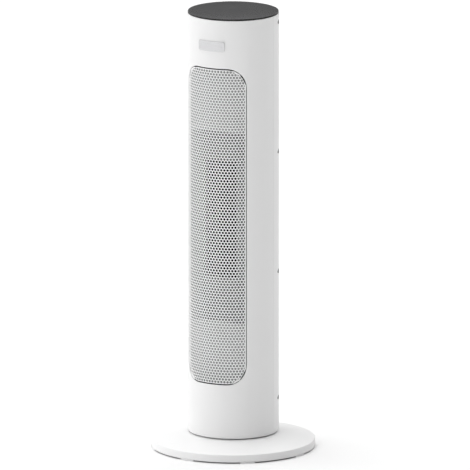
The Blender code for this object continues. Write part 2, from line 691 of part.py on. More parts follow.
def make_intake_cover(parent):
    drop = CASING_WALL + FIT_GAP
    section = ((0, 0), (0, -drop), (-INTAKE_FLANGE, -drop), (-INTAKE_FLANGE, -drop - INTAKE_SHEET / 2))
    section += ((INTAKE_FLANGE, -drop - INTAKE_SHEET / 2), (INTAKE_FLANGE, -INTAKE_SHEET))
    cover = curved_panel(
        "intake_cover", intake_panel(INTAKE_MARGIN), section, BODY_RADIUS, math.pi / 2, "white_plastic"
    )
    place(cover, parent)
    rows = int((INTAKE_HIGH - INTAKE_LOW - 2 * SLOT_PITCH) / SLOT_PITCH) + 1
    middle = (INTAKE_LOW + INTAKE_HIGH) / 2
    half = (SLOT_END_ANGLE - SLOT_RIB_ANGLE) / 2
    bm = bmesh.new()
    for row in range(rows):
        z = middle + (row - (rows - 1) / 2) * SLOT_PITCH
        for side in (-1, 1):
            centre = math.pi / 2 + side * (SLOT_RIB_ANGLE + half)
            add_arc_block(bm, centre, half, z - SLOT_HEIGHT / 2, z + SLOT_HEIGHT / 2)
    cut(cover, solid("intake_slots", bm, "white_plastic"))


def add_arc_block(bm, centre, half, low, high, steps=2):
    """A block between two radii, either side of the casing's wall, that cuts one slot."""
    inner, outer = INNER_RADIUS - 2 * CASING_WALL, BODY_RADIUS + CASING_WALL
    rings = []
    for k in range(steps + 1):
        angle = centre + half * (2 * k / steps - 1)
        corners = ((inner, low), (outer, low), (outer, high), (inner, high))
        rings.append([bm.verts.new((r * math.cos(angle), r * math.sin(angle), z)) for r, z in corners])
    bm.faces.new(rings[0])
    bm.faces.new(rings[-1][::-1])
    for first, second in zip(rings, rings[1:]):
        for k in range(4):
            bm.faces.new((first[k], second[k], second[(k + 1) % 4], first[(k + 1) % 4]))


def make_dust_filter(parent):
    radius = INNER_RADIUS - FIT_GAP - INTAKE_SHEET / 2 - FIT_GAP
    panel = intake_panel(INTAKE_MARGIN)
    section = ((0, 0), (0, -FILTER_THICKNESS))
    place(curved_panel("dust_filter", panel, section, radius, math.pi / 2, "filter_mesh"), parent)


def make_badge(parent):
    half = BADGE_HEIGHT / 2
    panel = (BADGE_WIDTH / 2 / BODY_RADIUS, BADGE_MIDDLE - half, BADGE_MIDDLE + half, BADGE_CORNER)
    chamfer = BADGE_THICKNESS / 3
    top = FIT_GAP + BADGE_THICKNESS
    section = ((chamfer, top), (0, top - chamfer), (0, FIT_GAP))
    place(curved_panel("blank_badge", panel, section, BODY_RADIUS, -math.pi / 2, "badge_metal"), parent)


# Duct, heater and blower


def make_air_duct(parent):
    """A baffle across the tower behind the grille, with a shelf above and below the outlet."""
    outline = [(x, -y) for x, y in disc_part(CORE_RADIUS, DUCT_DEPTH - DUCT_WALL)]
    low, high = DUCT_LOW - GRILLE_FLANGE, DUCT_HIGH + GRILLE_FLANGE
    duct = place(prism("air_duct", outline, low - DUCT_WALL, high + DUCT_WALL, "duct_plastic"), parent)
    clear = ((-BODY_RADIUS, -BODY_RADIUS, low), (BODY_RADIUS, -DUCT_DEPTH, high))
    cut(duct, boxes("duct_hollow", [clear], "duct_plastic"))
    x = HEATER_WIDTH / 2
    window = ((-x, -DUCT_DEPTH - DUCT_WALL, HEATER_LOW), (x, 2 * DUCT_WALL - DUCT_DEPTH, HEATER_HIGH))
    cut(duct, boxes("duct_window", [window], "duct_plastic"))
    width, _, height = BOARD_SIZE
    x = width / 2 - STANDOFF_INSET
    heights = (BOARD_BOTTOM + STANDOFF_INSET, BOARD_BOTTOM + height - STANDOFF_INSET)
    posts = [
        ((side * x, DUCT_WALL / 2 - DUCT_DEPTH, z), (side * x, BOARD_FRONT - FIT_GAP, z))
        for side in (-1, 1)
        for z in heights
    ]
    join(duct, rods("board_standoffs", posts, STANDOFF_RADIUS, "duct_plastic", 10))


def make_heater(parent):
    front = -DUCT_DEPTH - DUCT_WALL / 2
    seat = DUCT_WALL - DUCT_DEPTH + FIT_GAP
    x, flange = HEATER_WIDTH / 2 - FIT_GAP, HEATER_FLANGE
    low, high = HEATER_LOW + FIT_GAP, HEATER_HIGH - FIT_GAP
    frame = boxes("heater_frame", [((-x, front, low), (x, HEATER_BACK, high))], "grey_plastic")
    place(frame, parent)
    rim = ((-x - flange, seat, low - flange), (x + flange, seat + DUCT_WALL, high + flange))
    join(frame, boxes("heater_rim", [rim], "grey_plastic"))
    inside = HEATER_WIDTH / 2 - FRAME_SIDE
    opening = ((-inside, front - flange, CORE_LOW), (inside, HEATER_BACK + flange, CORE_HIGH))
    cut(frame, boxes("core_opening", [opening], "grey_plastic"))
    width, depth, height = TERMINAL_SIZE
    z = HEATER_LOW + TERMINAL_RISE
    tabs = [
        (
            (side * TERMINAL_OFFSET - width / 2, HEATER_BACK - depth / 2, z),
            (side * TERMINAL_OFFSET + width / 2, HEATER_BACK + depth, z + height),
        )
        for side in (-1, 1)
    ]
    join(frame, boxes("heater_terminals", tabs, "grey_plastic"))
    for side, name in ((-1, "left"), (1, "right")):
        make_core(parent, f"heater_core_{name}", side, inside)
    cutout_height = UPPER_BULKHEAD + CUTOUT_RISE + CUTOUT_RADIUS
    start = (0, HEATER_BACK + FIT_GAP, cutout_height)
    end = (0, HEATER_BACK + FIT_GAP + CUTOUT_HEIGHT, cutout_height)
    place(rods("thermal_cutout", [(start, end)], CUTOUT_RADIUS, "steel", 20), parent)
    y = HEATER_BACK + FIT_GAP + FUSE_RADIUS
    z = LOWER_BULKHEAD - FUSE_LENGTH / 2
    ends = ((-FUSE_LENGTH / 2, y, z), (FUSE_LENGTH / 2, y, z))
    place(rods("thermal_fuse", [ends], FUSE_RADIUS, "steel", 12), parent)


def make_core(parent, name, side, inside):
    """One stack of heating stones with fins that point at the outlet."""
    low, high = CORE_LOW + FIT_GAP, CORE_HIGH - FIT_GAP
    near, far = FIT_GAP, inside - FIT_GAP
    front = -DUCT_DEPTH
    back = front + CORE_THICKNESS
    pitch = (high - low) / FIN_COUNT
    outline = [(back, low)]
    for fin in range(FIN_COUNT):
        z = low + fin * pitch
        outline += [(front, z), (front, z + pitch / 2), (front + FIN_DEPTH, z + pitch / 2)]
        outline += [(front + FIN_DEPTH, z + pitch)]
    outline += [(back, high)]
    bm = bmesh.new()
    first = bm.faces.new([bm.verts.new((side * near, y, z)) for y, z in outline])
    grown = bmesh.ops.extrude_face_region(bm, geom=[first])["geom"]
    moved = [item for item in grown if isinstance(item, bmesh.types.BMVert)]
    bmesh.ops.translate(bm, verts=moved, vec=(side * (far - near), 0, 0))
    place(solid(name, bm, "heater_fins"), parent)


def make_fan_housing(parent):
    """Two bulkheads across the tower and the scroll walls between them, round the wheel."""
    front = HEATER_BACK + FIT_GAP
    outline = disc_part(CORE_RADIUS, front)
    low, high = LOWER_BULKHEAD, UPPER_BULKHEAD + BULKHEAD_THICKNESS
    housing = prism("fan_housing", outline, low, low + BULKHEAD_THICKNESS, "black_plastic")
    place(housing, parent)
    upper = prism("upper_bulkhead", outline, UPPER_BULKHEAD, high, "black_plastic")
    inner = FAN_RADIUS + SCROLL_GAP
    overlap = BULKHEAD_THICKNESS / 2
    section = [(inner, low + overlap), (inner + SCROLL_WALL, low + overlap)]
    section += [(inner + SCROLL_WALL, high - overlap), (inner, high - overlap)]
    scroll = turned("scroll_wall", section, "black_plastic", 12, SCROLL_START, SCROLL_SWEEP)
    tongue = turned("tongue_wall", section, "black_plastic", 4, TONGUE_START, TONGUE_SWEEP)
    for wall in (scroll, tongue):
        wall.location.y = FAN_OFFSET
        join(housing, wall)
    join(housing, upper)
    shaft_hole = [((0, FAN_OFFSET, low - FIT_GAP), (0, FAN_OFFSET, low + 2 * BULKHEAD_THICKNESS))]
    cut(housing, rods("shaft_hole", shaft_hole, SHAFT_RADIUS + RUNNING_GAP, "black_plastic"))
    bush_hole = [((0, FAN_OFFSET, UPPER_BULKHEAD - FIT_GAP), (0, FAN_OFFSET, high + FIT_GAP))]
    cut(housing, rods("bush_hole", bush_hole, BUSH_RADIUS + FIT_GAP, "black_plastic"))


def make_fan(parent):
    hub = 2 * SHAFT_RADIUS
    inner = FAN_RADIUS - FAN_BLADE_DEPTH
    outline = [(SHAFT_RADIUS + FIT_GAP, FAN_LOW), (FAN_RADIUS, FAN_LOW), (FAN_RADIUS, FAN_HIGH)]
    outline += [(SHAFT_RADIUS + FIT_GAP, FAN_HIGH), (SHAFT_RADIUS + FIT_GAP, FAN_HIGH - 2 * FAN_DISC)]
    outline += [(hub, FAN_HIGH - 2 * FAN_DISC), (hub, FAN_HIGH - FAN_DISC), (inner, FAN_HIGH - FAN_DISC)]
    outline += [(inner, FAN_LOW + FAN_DISC), (hub, FAN_LOW + FAN_DISC), (hub, FAN_LOW + 2 * FAN_DISC)]
    outline += [(SHAFT_RADIUS + FIT_GAP, FAN_LOW + 2 * FAN_DISC)]
    wheel = place(turned("fan_wheel", outline, "black_plastic", FAN_BLADES), parent)
    bm = bmesh.new()
    opening = BLADE_OPENING / 2 * math.tau / FAN_BLADES
    for k in range(FAN_BLADES):
        angle = math.tau * (k + 0.5) / FAN_BLADES
        corners = []
        for r, turn in ((inner - FAN_DISC, 0.0), (FAN_RADIUS + FAN_DISC, BLADE_SWEEP)):
            for side in (-1, 1):
                a = angle + turn + side * opening
                corners.append((r * math.cos(a), r * math.sin(a)))
        outline = [corners[0], corners[2], corners[3], corners[1]]
        rows = []
        for z in (FAN_LOW + FAN_DISC, FAN_HIGH - FAN_DISC):
            rows.append([bm.verts.new((x, y, z)) for x, y in outline])
        bm.faces.new(rows[0][::-1])
        bm.faces.new(rows[1])
        for j in range(4):
            bm.faces.new((rows[0][j], rows[0][(j + 1) % 4], rows[1][(j + 1) % 4], rows[1][j]))
    slots = solid("blade_slots", bm, "black_plastic")
    cut(wheel, place(slots, parent))
    top = UPPER_BULKHEAD + BULKHEAD_THICKNESS + BUSH_LENGTH / 2
    bottom = LOWER_BULKHEAD - MOTOR_LENGTH / 2
    place(rods("fan_shaft", [((0, 0, bottom), (0, 0, top))], SHAFT_RADIUS, "steel", 12), parent)


def make_fan_motor(parent):
    top = LOWER_BULKHEAD - FIT_GAP
    bottom = top - MOTOR_LENGTH
    bevel = MOTOR_RADIUS / 8
    bore = SHAFT_RADIUS + FIT_GAP
    floor = LOWER_BULKHEAD - MOTOR_LENGTH / 2 - RUNNING_GAP
    outline = [(0, bottom), (MOTOR_RADIUS - bevel, bottom), (MOTOR_RADIUS, bottom + bevel)]
    outline += [(MOTOR_RADIUS, top - bevel), (MOTOR_RADIUS - bevel, top), (bore, top)]
    outline += [(bore, floor), (0, floor)]
    place(turned("fan_motor", outline, "zinc_steel", 28), parent, (0, FAN_OFFSET, 0))


def make_fan_bush(parent):
    low = UPPER_BULKHEAD - FIT_GAP
    inner = SHAFT_RADIUS + FIT_GAP
    high = low + BUSH_LENGTH
    outline = [(inner, low), (BUSH_RADIUS, low), (BUSH_RADIUS, high), (inner, high)]
    place(turned("fan_bush", outline, "bronze", 20), parent, (0, FAN_OFFSET, 0))


# Controls, drive and inlets


def make_main_board(parent):
    width, thickness, height = BOARD_SIZE
    low, back = BOARD_BOTTOM, BOARD_FRONT + thickness
    corners = ((-width / 2, BOARD_FRONT, low), (width / 2, back, low + height))
    board = place(boxes("main_board", [corners], "circuit_board"), parent)
    sink = thickness / 2
    blocks = [
        ((left, back - sink, low + lower), (right, back + deep, low + upper))
        for left, right, lower, upper, deep in BOARD_BLOCKS
    ]
    join(board, boxes("board_blocks", blocks, "circuit_board"))
    x, rise = CAPACITOR_PLACE
    capacitor = [((x, back - sink, low + rise), (x, back + CAPACITOR_LENGTH, low + rise))]
    join(board, rods("board_capacitor", capacitor, CAPACITOR_RADIUS, "circuit_board"))


def make_leads(parent):
    """Two leads from the main board's upper edge to the heater's terminals."""
    start_height = BOARD_BOTTOM + BOARD_SIZE[2] + FIT_GAP
    end_height = HEATER_LOW + TERMINAL_RISE - FIT_GAP
    start_depth = BOARD_FRONT + BOARD_SIZE[1] / 2
    end_depth = HEATER_BACK + TERMINAL_SIZE[1] / 2 + LEAD_RADIUS
    for side, name in ((-1, "live"), (1, "neutral")):
        curve = bpy.data.curves.new(f"heater_lead_{name}", "CURVE")
        curve.dimensions = "3D"
        curve.bevel_depth = LEAD_RADIUS
        curve.bevel_resolution = 2
        curve.use_fill_caps = True
        spline = curve.splines.new("POLY")
        spline.points.add(LEAD_STEPS)
        for k in range(LEAD_STEPS + 1):
            share = k / LEAD_STEPS
            ease = share * share * (3 - 2 * share)
            swell = math.sin(math.pi * share) ** 2
            x = side * (TERMINAL_OFFSET + LEAD_SPREAD * swell)
            y = start_depth + (end_depth - start_depth) * ease + LEAD_BOW * swell
            z = start_height + (end_height - start_height) * share
            spline.points[k].co = (x, y, z, 1)
        curve.materials.append(finish("lead_insulation"))
        lead = bpy.data.objects.new(f"heater_lead_{name}", curve)
        bpy.context.scene.collection.objects.link(lead)
        place(lead, parent)


def make_oscillation_motor(parent):
    low = CAP_TOP + FIT_GAP
    high = low + OSCILLATION_MOTOR_HEIGHT
    bore = PINION_SHAFT_RADIUS + FIT_GAP
    depth = low + OSCILLATION_SHAFT_DEPTH + FIT_GAP
    radius = OSCILLATION_MOTOR_RADIUS
    outline = [(0, depth), (bore, depth), (bore, low), (radius, low), (radius, high), (0, high)]
    motor = place(turned("oscillation_motor", outline, "zinc_steel"), parent, (0, GEAR_CENTRES, 0))
    x, y = MOTOR_EAR_LENGTH, MOTOR_EAR_WIDTH / 2
    hollow = 2 * bore
    ears = [
        ((-x, GEAR_CENTRES - y, low), (-hollow, GEAR_CENTRES + y, low + MOTOR_EAR_THICKNESS)),
        ((hollow, GEAR_CENTRES - y, low), (x, GEAR_CENTRES + y, low + MOTOR_EAR_THICKNESS)),
    ]
    join(motor, boxes("motor_ears", ears, "zinc_steel"))


def make_pinion(parent):
    low, high = GEAR_BOTTOM, GEAR_BOTTOM + GEAR_WIDTH
    pinion = prism("drive_pinion", gear_outline(PINION_TEETH), low, high, "acetal")
    pinion.data.transform(Matrix.Rotation(math.pi / PINION_TEETH - math.pi / 2, 4, "Z"))
    place(pinion, parent)
    top = CAP_TOP + FIT_GAP + OSCILLATION_SHAFT_DEPTH
    shaft = rods("pinion_shaft", [((0, 0, low + FIT_GAP), (0, 0, top))], PINION_SHAFT_RADIUS, "acetal", 12)
    join(pinion, place(shaft, parent))


def make_tip_switch(parent):
    width, depth, height = TIP_SWITCH_SIZE
    x, y = TIP_SWITCH_PLACE
    low = CAP_TOP + FIT_GAP
    corners = ((x - width / 2, y - depth / 2, low), (x + width / 2, y + depth / 2, low + height))
    place(boxes("tip_over_switch", [corners], "black_plastic"), parent)


def make_switch_frame(parent):
    width, thickness, height = SWITCH_FRAME
    face = SWITCH_PLANE + FIT_GAP
    z = SWITCH_HEIGHT
    flange = ((-width / 2, face, z - height / 2), (width / 2, face + thickness, z + height / 2))
    frame = place(boxes("switch_frame", [flange], "black_plastic"), parent)
    width, depth, height = SWITCH_BODY
    body = ((-width / 2, face - depth, z - height / 2), (width / 2, face + thickness / 2, z + height / 2))
    join(frame, boxes("switch_body", [body], "black_plastic"))
    x = ROCKER_HALF_WIDTH + FIT_GAP
    reach = ROCKER_HALF_LENGTH + 3 * FIT_GAP
    hollow = ((-x, face - depth + 2 * thickness, z - reach), (x, face + 2 * thickness, z + reach))
    cut(frame, boxes("switch_hollow", [hollow], "black_plastic"))


def rocker_pivot():
    return (0, SWITCH_PLANE + FIT_GAP + SWITCH_FRAME[1] - ROCKER_RISE, SWITCH_HEIGHT)


def make_rocker(parent):
    """The rocker, tilted as far as it goes towards off, with its pivot at its own origin."""
    reach = ROCKER_HALF_LENGTH
    outline = [(-ROCKER_DEPTH, -0.8 * reach), (ROCKER_RISE, -reach), (ROCKER_DIP, 0), (ROCKER_RISE, reach)]
    outline += [(-ROCKER_DEPTH, 0.8 * reach)]
    bm = bmesh.new()
    side = bm.faces.new([bm.verts.new((-ROCKER_HALF_WIDTH, y, z)) for y, z in outline])
    grown = bmesh.ops.extrude_face_region(bm, geom=[side])["geom"]
    moved = [item for item in grown if isinstance(item, bmesh.types.BMVert)]
    bmesh.ops.translate(bm, verts=moved, vec=(2 * ROCKER_HALF_WIDTH, 0, 0))
    place(solid("rocker_switch", bm, "black_plastic"), parent, rotation=(-ROCKER_TILT, 0, 0))


def make_gland(parent):
    outside = BODY_RADIUS + FIT_GAP
    inside = math.sqrt(INNER_RADIUS**2 - GLAND_FLANGE_RADIUS**2) - FIT_GAP
    outline = [(GLAND_BORE, inside - GLAND_FLANGE), (GLAND_FLANGE_RADIUS, inside - GLAND_FLANGE)]
    outline += [(GLAND_FLANGE_RADIUS, inside), (GLAND_RADIUS, inside), (GLAND_RADIUS, outside)]
    outline += [(GLAND_FLANGE_RADIUS, outside), (GLAND_FLANGE_RADIUS, outside + GLAND_FLANGE / 2)]
    outline += [(GLAND_FLANGE_RADIUS - GLAND_FLANGE / 2, outside + GLAND_FLANGE)]
    outline += [(GLAND_BORE, outside + GLAND_FLANGE)]
    gland = turned("cord_gland", outline, "black_plastic", 20)
    place(gland, parent, (0, 0, GLAND_HEIGHT), (-math.pi / 2, 0, 0))


def main():
    for obj in list(bpy.data.objects):
        bpy.data.objects.remove(obj, do_unlink=True)
    base = axis_empty("base_origin")
    tower = axis_empty("tower_axis")
    fan = axis_empty("fan_axis", (0, FAN_OFFSET, 0), tower)
    pinion = axis_empty("pinion_axis", (0, GEAR_CENTRES, 0), tower)
    rocker = axis_empty("rocker_axis", rocker_pivot(), tower)
    for make in (make_base_cover, make_bottom_plate, make_base_screws, make_feet, make_bearing_ring):
        make(base)
    make_fixed_gear(base)
    for make in (make_front_casing, make_rear_casing, make_case_screws, make_bottom_cap):
        make(tower)
    for make in (make_retaining_ring, make_top, make_grille, make_intake_cover, make_dust_filter):
        make(tower)
    for make in (make_badge, make_air_duct, make_heater, make_fan_housing, make_fan_motor, make_fan_bush):
        make(tower)
    for make in (make_main_board, make_leads, make_oscillation_motor, make_tip_switch):
        make(tower)
    make_switch_frame(tower)
    make_gland(tower)
    make_fan(fan)
    make_pinion(pinion)
    make_rocker(rocker)


main()
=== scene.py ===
"""The looks of an oscillating ceramic tower heater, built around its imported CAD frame.

The file is laid out as an add-on: settings, finishes, one operator for each piece or group of like
pieces, and a panel that lists them. Run as a script, it builds everything in order.
"""

import json
import math

import bmesh
import bpy
from bpy.props import FloatProperty, FloatVectorProperty, IntProperty, PointerProperty
from mathutils import Matrix, Vector
from mathutils.geometry import delaunay_2d_cdt


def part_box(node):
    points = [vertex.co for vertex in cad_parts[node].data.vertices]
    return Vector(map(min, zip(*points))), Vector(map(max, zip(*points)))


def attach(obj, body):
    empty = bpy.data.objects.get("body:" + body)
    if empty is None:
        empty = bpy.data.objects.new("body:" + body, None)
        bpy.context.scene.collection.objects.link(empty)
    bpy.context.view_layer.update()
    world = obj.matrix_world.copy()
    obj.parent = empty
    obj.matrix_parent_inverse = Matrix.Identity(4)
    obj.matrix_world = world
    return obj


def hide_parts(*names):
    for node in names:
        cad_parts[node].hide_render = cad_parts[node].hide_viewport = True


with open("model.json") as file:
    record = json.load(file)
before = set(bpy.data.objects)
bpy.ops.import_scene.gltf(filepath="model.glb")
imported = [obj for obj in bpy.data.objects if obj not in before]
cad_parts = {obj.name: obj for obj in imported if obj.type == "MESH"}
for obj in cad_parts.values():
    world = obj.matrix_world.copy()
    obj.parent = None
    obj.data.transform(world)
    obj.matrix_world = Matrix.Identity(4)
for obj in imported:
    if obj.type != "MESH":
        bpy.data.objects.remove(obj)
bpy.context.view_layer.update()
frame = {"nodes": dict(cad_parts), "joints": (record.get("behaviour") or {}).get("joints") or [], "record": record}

bl_info = {
    "name": "Tower heater looks",
    "version": (1, 0, 0),
    "blender": (4, 5, 0),
    "location": "3D View > Sidebar > Tower heater",
    "description": "Builds the finished surfaces of a ceramic tower heater around its CAD frame",
    "category": "Object",
}

FRONT = -math.pi / 2
REAR = math.pi / 2
FIT_GAP = 0.0003
FOOT_HALF_ANGLE = math.radians(5.2)
CASING_SCREW_HEAD = 0.002
BASE_SCREW_HEAD = 0.0015
SWITCH_FLANGE = 0.0016
ROCKER_HALF_WIDTH = 0.0064
ROCKER_REACH = 0.0092
CORD_NECK = 0.006
DUST_COLOUR = (0.55, 0.54, 0.52, 1.0)

# Sizes read from the frame
CASING_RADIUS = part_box("rear_casing")[1].y
CASING_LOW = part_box("rear_casing")[0].z
CASING_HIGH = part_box("rear_casing")[1].z
CORE_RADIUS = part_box("top_tray")[1].x
INNER_RADIUS = CORE_RADIUS + FIT_GAP
WALL = CASING_RADIUS - INNER_RADIUS
LIP_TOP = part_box("bottom_cap")[1].z - 0.0028
LIP_RADIUS = INNER_RADIUS - 0.0049


# Settings


def distance_setting(name, description, metres):
    return FloatProperty(
        name=name, description=description, default=metres, unit="LENGTH", subtype="DISTANCE"
    )


def angle_setting(name, description, degrees):
    return FloatProperty(
        name=name, description=description, default=math.radians(degrees), unit="ROTATION", subtype="ANGLE"
    )


def colour_setting(name, description, default):
    return FloatVectorProperty(
        name=name, description=description, default=default, size=3, min=0, max=1, subtype="COLOR"
    )


class CasingSettings(bpy.types.PropertyGroup):
    """Sizes of the casing's edges and openings."""

    step: angle_setting("Step", "Angle between the casing's upright lines", 2)
    edge_round: distance_setting("Edge rounding", "Rounding of the openings' outer edges", 0.0006)
    outlet_corner: distance_setting("Outlet corner", "Corner radius of the air outlet", 0.032)
    intake_corner: distance_setting("Intake corner", "Corner radius of the air intake", 0.012)
    lower_inset: distance_setting("Lower edge inset", "How far the casing's lower edge curls in", 0.0018)
    lower_height: distance_setting("Lower edge height", "Height of the casing's rounded lower edge", 0.005)


class GrilleSettings(bpy.types.PropertyGroup):
    """Sizes of the perforated outlet sheet and the slotted intake cover."""

    hole_diameter: distance_setting("Hole diameter", "Diameter of the round holes", 0.0038)
    hole_pitch: distance_setting("Hole pitch", "Distance between neighbouring holes", 0.005)
    hole_sides: IntProperty(
        name="Hole sides", description="Sides of each round hole", default=12, min=6,
    )
    sheet: distance_setting("Sheet", "Thickness of the perforated sheet", 0.0003)
    recess: distance_setting("Recess", "How far the sheet lies below the casing's surface", 0.0005)
    margin: distance_setting("Margin", "Width of the joint round the sheet", 0.0021)
    flange: distance_setting("Flange", "Width of the flange hidden behind the casing", 0.0041)
    roll: distance_setting("Rolled edge", "Width of the sheet's rolled edge", 0.0007)
    slot_height: distance_setting("Slot height", "Height of the intake's slots", 0.0034)
    slot_pitch: distance_setting("Slot pitch", "Distance between the intake's slots", 0.007)


class HeaterSettings(bpy.types.PropertyGroup):
    """Sizes of the heating element's fins."""

    fin_pitch: distance_setting("Fin pitch", "Distance between the folds of the heater's fins", 0.0026)
    fin_sheet: distance_setting("Fin sheet", "Thickness of the fins", 0.0004)
    stone_width: distance_setting("Stone width", "Width of the bars that hold the ceramic stones", 0.0032)


class FinishSettings(bpy.types.PropertyGroup):
    """Colours of the finishes that show from outside."""

    white: colour_setting("White", "Moulded casing and base", (0.885, 0.885, 0.885))
    sheet: colour_setting("Sheet", "Paint of the perforated sheet", (0.95, 0.95, 0.95))
    panel: colour_setting("Panel", "Smoked panel on top", (0.038, 0.038, 0.040))
    rubber: colour_setting("Rubber", "Foot pads", (0.86, 0.86, 0.86))


class StageSettings(bpy.types.PropertyGroup):
    """Camera, lights and floor."""

    azimuth: angle_setting("Azimuth", "Camera's angle to the right of the front", 29.2)
    elevation: angle_setting("Elevation", "Camera's angle above the horizon", 12.3)
    view_height: distance_setting("View height", "Height of the frame at the heater", 0.7335)
    aim_height: distance_setting("Aim height", "Height on the axis that the camera looks at", 0.337)
    aim_side: distance_setting("Aim side", "How far to the right of the axis the camera looks", 0.0028)
    lens: FloatProperty(
        name="Lens", description="Focal length, long as for a catalogue picture",
        default=1400, unit="CAMERA",
    )
    key: FloatProperty(name="Key", description="Strength of the wide light on the left", default=2.3)
    top: FloatProperty(name="Top", description="Strength of the light overhead", default=2.82)
    rim: FloatProperty(name="Rim", description="Strength of the light behind on the right", default=0.1)
    world_level: FloatProperty(
        name="Surroundings", description="Brightness of the studio's walls", default=0.12,
    )
    floor_tone: FloatProperty(
        name="Floor", description="Lightness of the floor", default=0.862, min=0, max=1,
    )


class HeaterLooks(bpy.types.PropertyGroup):
    """All the settings of the tower heater's looks."""

    casing: PointerProperty(type=CasingSettings, name="Casing", description="Casing and openings")
    grille: PointerProperty(type=GrilleSettings, name="Grilles", description="Outlet and intake")
    heater: PointerProperty(type=HeaterSettings, name="Heater", description="Heating element")
    finish: PointerProperty(type=FinishSettings, name="Finishes", description="Outer colours")
    stage: PointerProperty(type=StageSettings, name="Stage", description="Camera and light")


def looks():
    return bpy.context.scene.tower_heater_looks


# Node tools


def add(tree, kind, sources=(), **settings):
    """A new node. sources are (input, value or socket) pairs, and settings its own values."""
    node = tree.nodes.new(kind)
    for key, value in settings.items():
        setattr(node, key, value)
    for name, source in sources:
        if isinstance(source, bpy.types.NodeSocket):
            tree.links.new(source, node.inputs[name])
        else:
            node.inputs[name].default_value = source
    return node


def node_group(name, inputs, outputs):
    """An empty shader group with float inputs, given as (name, default), and typed outputs."""
    tree = bpy.data.node_groups.new(name, "ShaderNodeTree")
    for label, default in inputs:
        socket = tree.interface.new_socket(name=label, in_out="INPUT", socket_type="NodeSocketFloat")
        socket.default_value = default
    for label, kind in outputs:
        tree.interface.new_socket(name=label, in_out="OUTPUT", socket_type=kind)
    return tree, tree.nodes.new("NodeGroupInput").outputs, tree.nodes.new("NodeGroupOutput").inputs


def object_place(tree):
    return add(tree, "ShaderNodeTexCoord").outputs["Object"]


def surface_grain():
    """Fine moulded or sprayed grain, with a slow drift of tone over the piece."""
    inputs = (("Scale", 2400.0), ("Depth", 0.00002), ("Drift scale", 9.0))
    outputs = (("Drift", "NodeSocketFloat"), ("Speckle", "NodeSocketFloat"), ("Normal", "NodeSocketVector"))
    tree, given, result = node_group("surface_grain", inputs, outputs)
    place = object_place(tree)
    fine = add(tree, "ShaderNodeTexNoise", (("Vector", place), ("Scale", given["Scale"]), ("Detail", 2.0)))
    slow = add(
        tree, "ShaderNodeTexNoise", (("Vector", place), ("Scale", given["Drift scale"]), ("Detail", 3.0))
    )
    bump = add(tree, "ShaderNodeBump", (("Height", fine.outputs["Fac"]), ("Distance", given["Depth"])))
    tree.links.new(slow.outputs["Fac"], result["Drift"])
    tree.links.new(fine.outputs["Fac"], result["Speckle"])
    tree.links.new(bump.outputs["Normal"], result["Normal"])
    return tree


def settled_dust():
    """Where fine dust would lie: on faces that look up, in uneven patches."""
    tree, given, result = node_group("settled_dust", (("Amount", 0.1),), (("Mask", "NodeSocketFloat"),))
    geometry = add(tree, "ShaderNodeNewGeometry")
    up = add(tree, "ShaderNodeSeparateXYZ", (("Vector", geometry.outputs["Normal"]),)).outputs["Z"]
    facing = add(tree, "ShaderNodeMapRange", (("Value", up), ("From Min", 0.5), ("From Max", 1.0)))
    place = object_place(tree)
    patches = add(tree, "ShaderNodeTexNoise", (("Vector", place), ("Scale", 70.0), ("Detail", 6.0)))
    lies = add(
        tree, "ShaderNodeMath", ((0, facing.outputs["Result"]), (1, patches.outputs["Fac"])),
        operation="MULTIPLY",
    )
    mask = add(tree, "ShaderNodeMath", ((0, lies.outputs[0]), (1, given["Amount"])), operation="MULTIPLY")
    tree.links.new(mask.outputs[0], result["Mask"])
    return tree


def drawn_lines():
    """Fine lines drawn along one axis, as brushing or rolling leaves them in metal."""
    inputs = (("Along X", 40.0), ("Along Y", 40.0), ("Along Z", 3000.0), ("Depth", 0.00001))
    outputs = (("Lines", "NodeSocketFloat"), ("Normal", "NodeSocketVector"))
    tree, given, result = node_group("drawn_lines", inputs, outputs)
    place = object_place(tree)
    scales = add(
        tree, "ShaderNodeCombineXYZ",
        (("X", given["Along X"]), ("Y", given["Along Y"]), ("Z", given["Along Z"])),
    )
    stretched = add(
        tree, "ShaderNodeVectorMath", ((0, place), (1, scales.outputs[0])), operation="MULTIPLY"
    )
    noise = add(
        tree, "ShaderNodeTexNoise", (("Vector", stretched.outputs[0]), ("Scale", 1.0), ("Detail", 4.0))
    )
    bump = add(tree, "ShaderNodeBump", (("Height", noise.outputs["Fac"]), ("Distance", given["Depth"])))
    tree.links.new(noise.outputs["Fac"], result["Lines"])
    tree.links.new(bump.outputs["Normal"], result["Normal"])
    return tree


def place_group(tree, make, **values):
    """A node for one of the groups above, which is made the first time it is asked for."""
    node = tree.nodes.new("ShaderNodeGroup")
    node.node_tree = bpy.data.node_groups.get(make.__name__) or make()
    for key, value in values.items():
        node.inputs[key.replace("_", " ")].default_value = value
    return node


def shade(colour, factor):
    return (*(min(1.0, channel * factor) for channel in colour), 1.0)


def new_material(name, **sockets):
    """A material's tree and its Principled shader, with constant values set on the shader itself."""
    material = bpy.data.materials.new("finish_" + name)
    material.use_nodes = True
    shader = material.node_tree.nodes["Principled BSDF"]
    for key, value in sockets.items():
        shader.inputs[key.replace("_", " ")].default_value = value
    return material, material.node_tree, shader


def between(tree, mask, low, high):
    """A number that runs from low to high as the mask goes from 0.3 to 0.7."""
    sources = (("Value", mask), ("From Min", 0.3), ("From Max", 0.7), ("To Min", low), ("To Max", high))
    return add(tree, "ShaderNodeMapRange", sources).outputs["Result"]


def blend_colours(tree, mask, first, second):
    mix = add(tree, "ShaderNodeMix", data_type="RGBA")
    for socket, source in ((mix.inputs[0], mask), (mix.inputs[6], first), (mix.inputs[7], second)):
        if isinstance(source, bpy.types.NodeSocket):
            tree.links.new(source, socket)
        else:
            socket.default_value = source
    return mix.outputs[2]


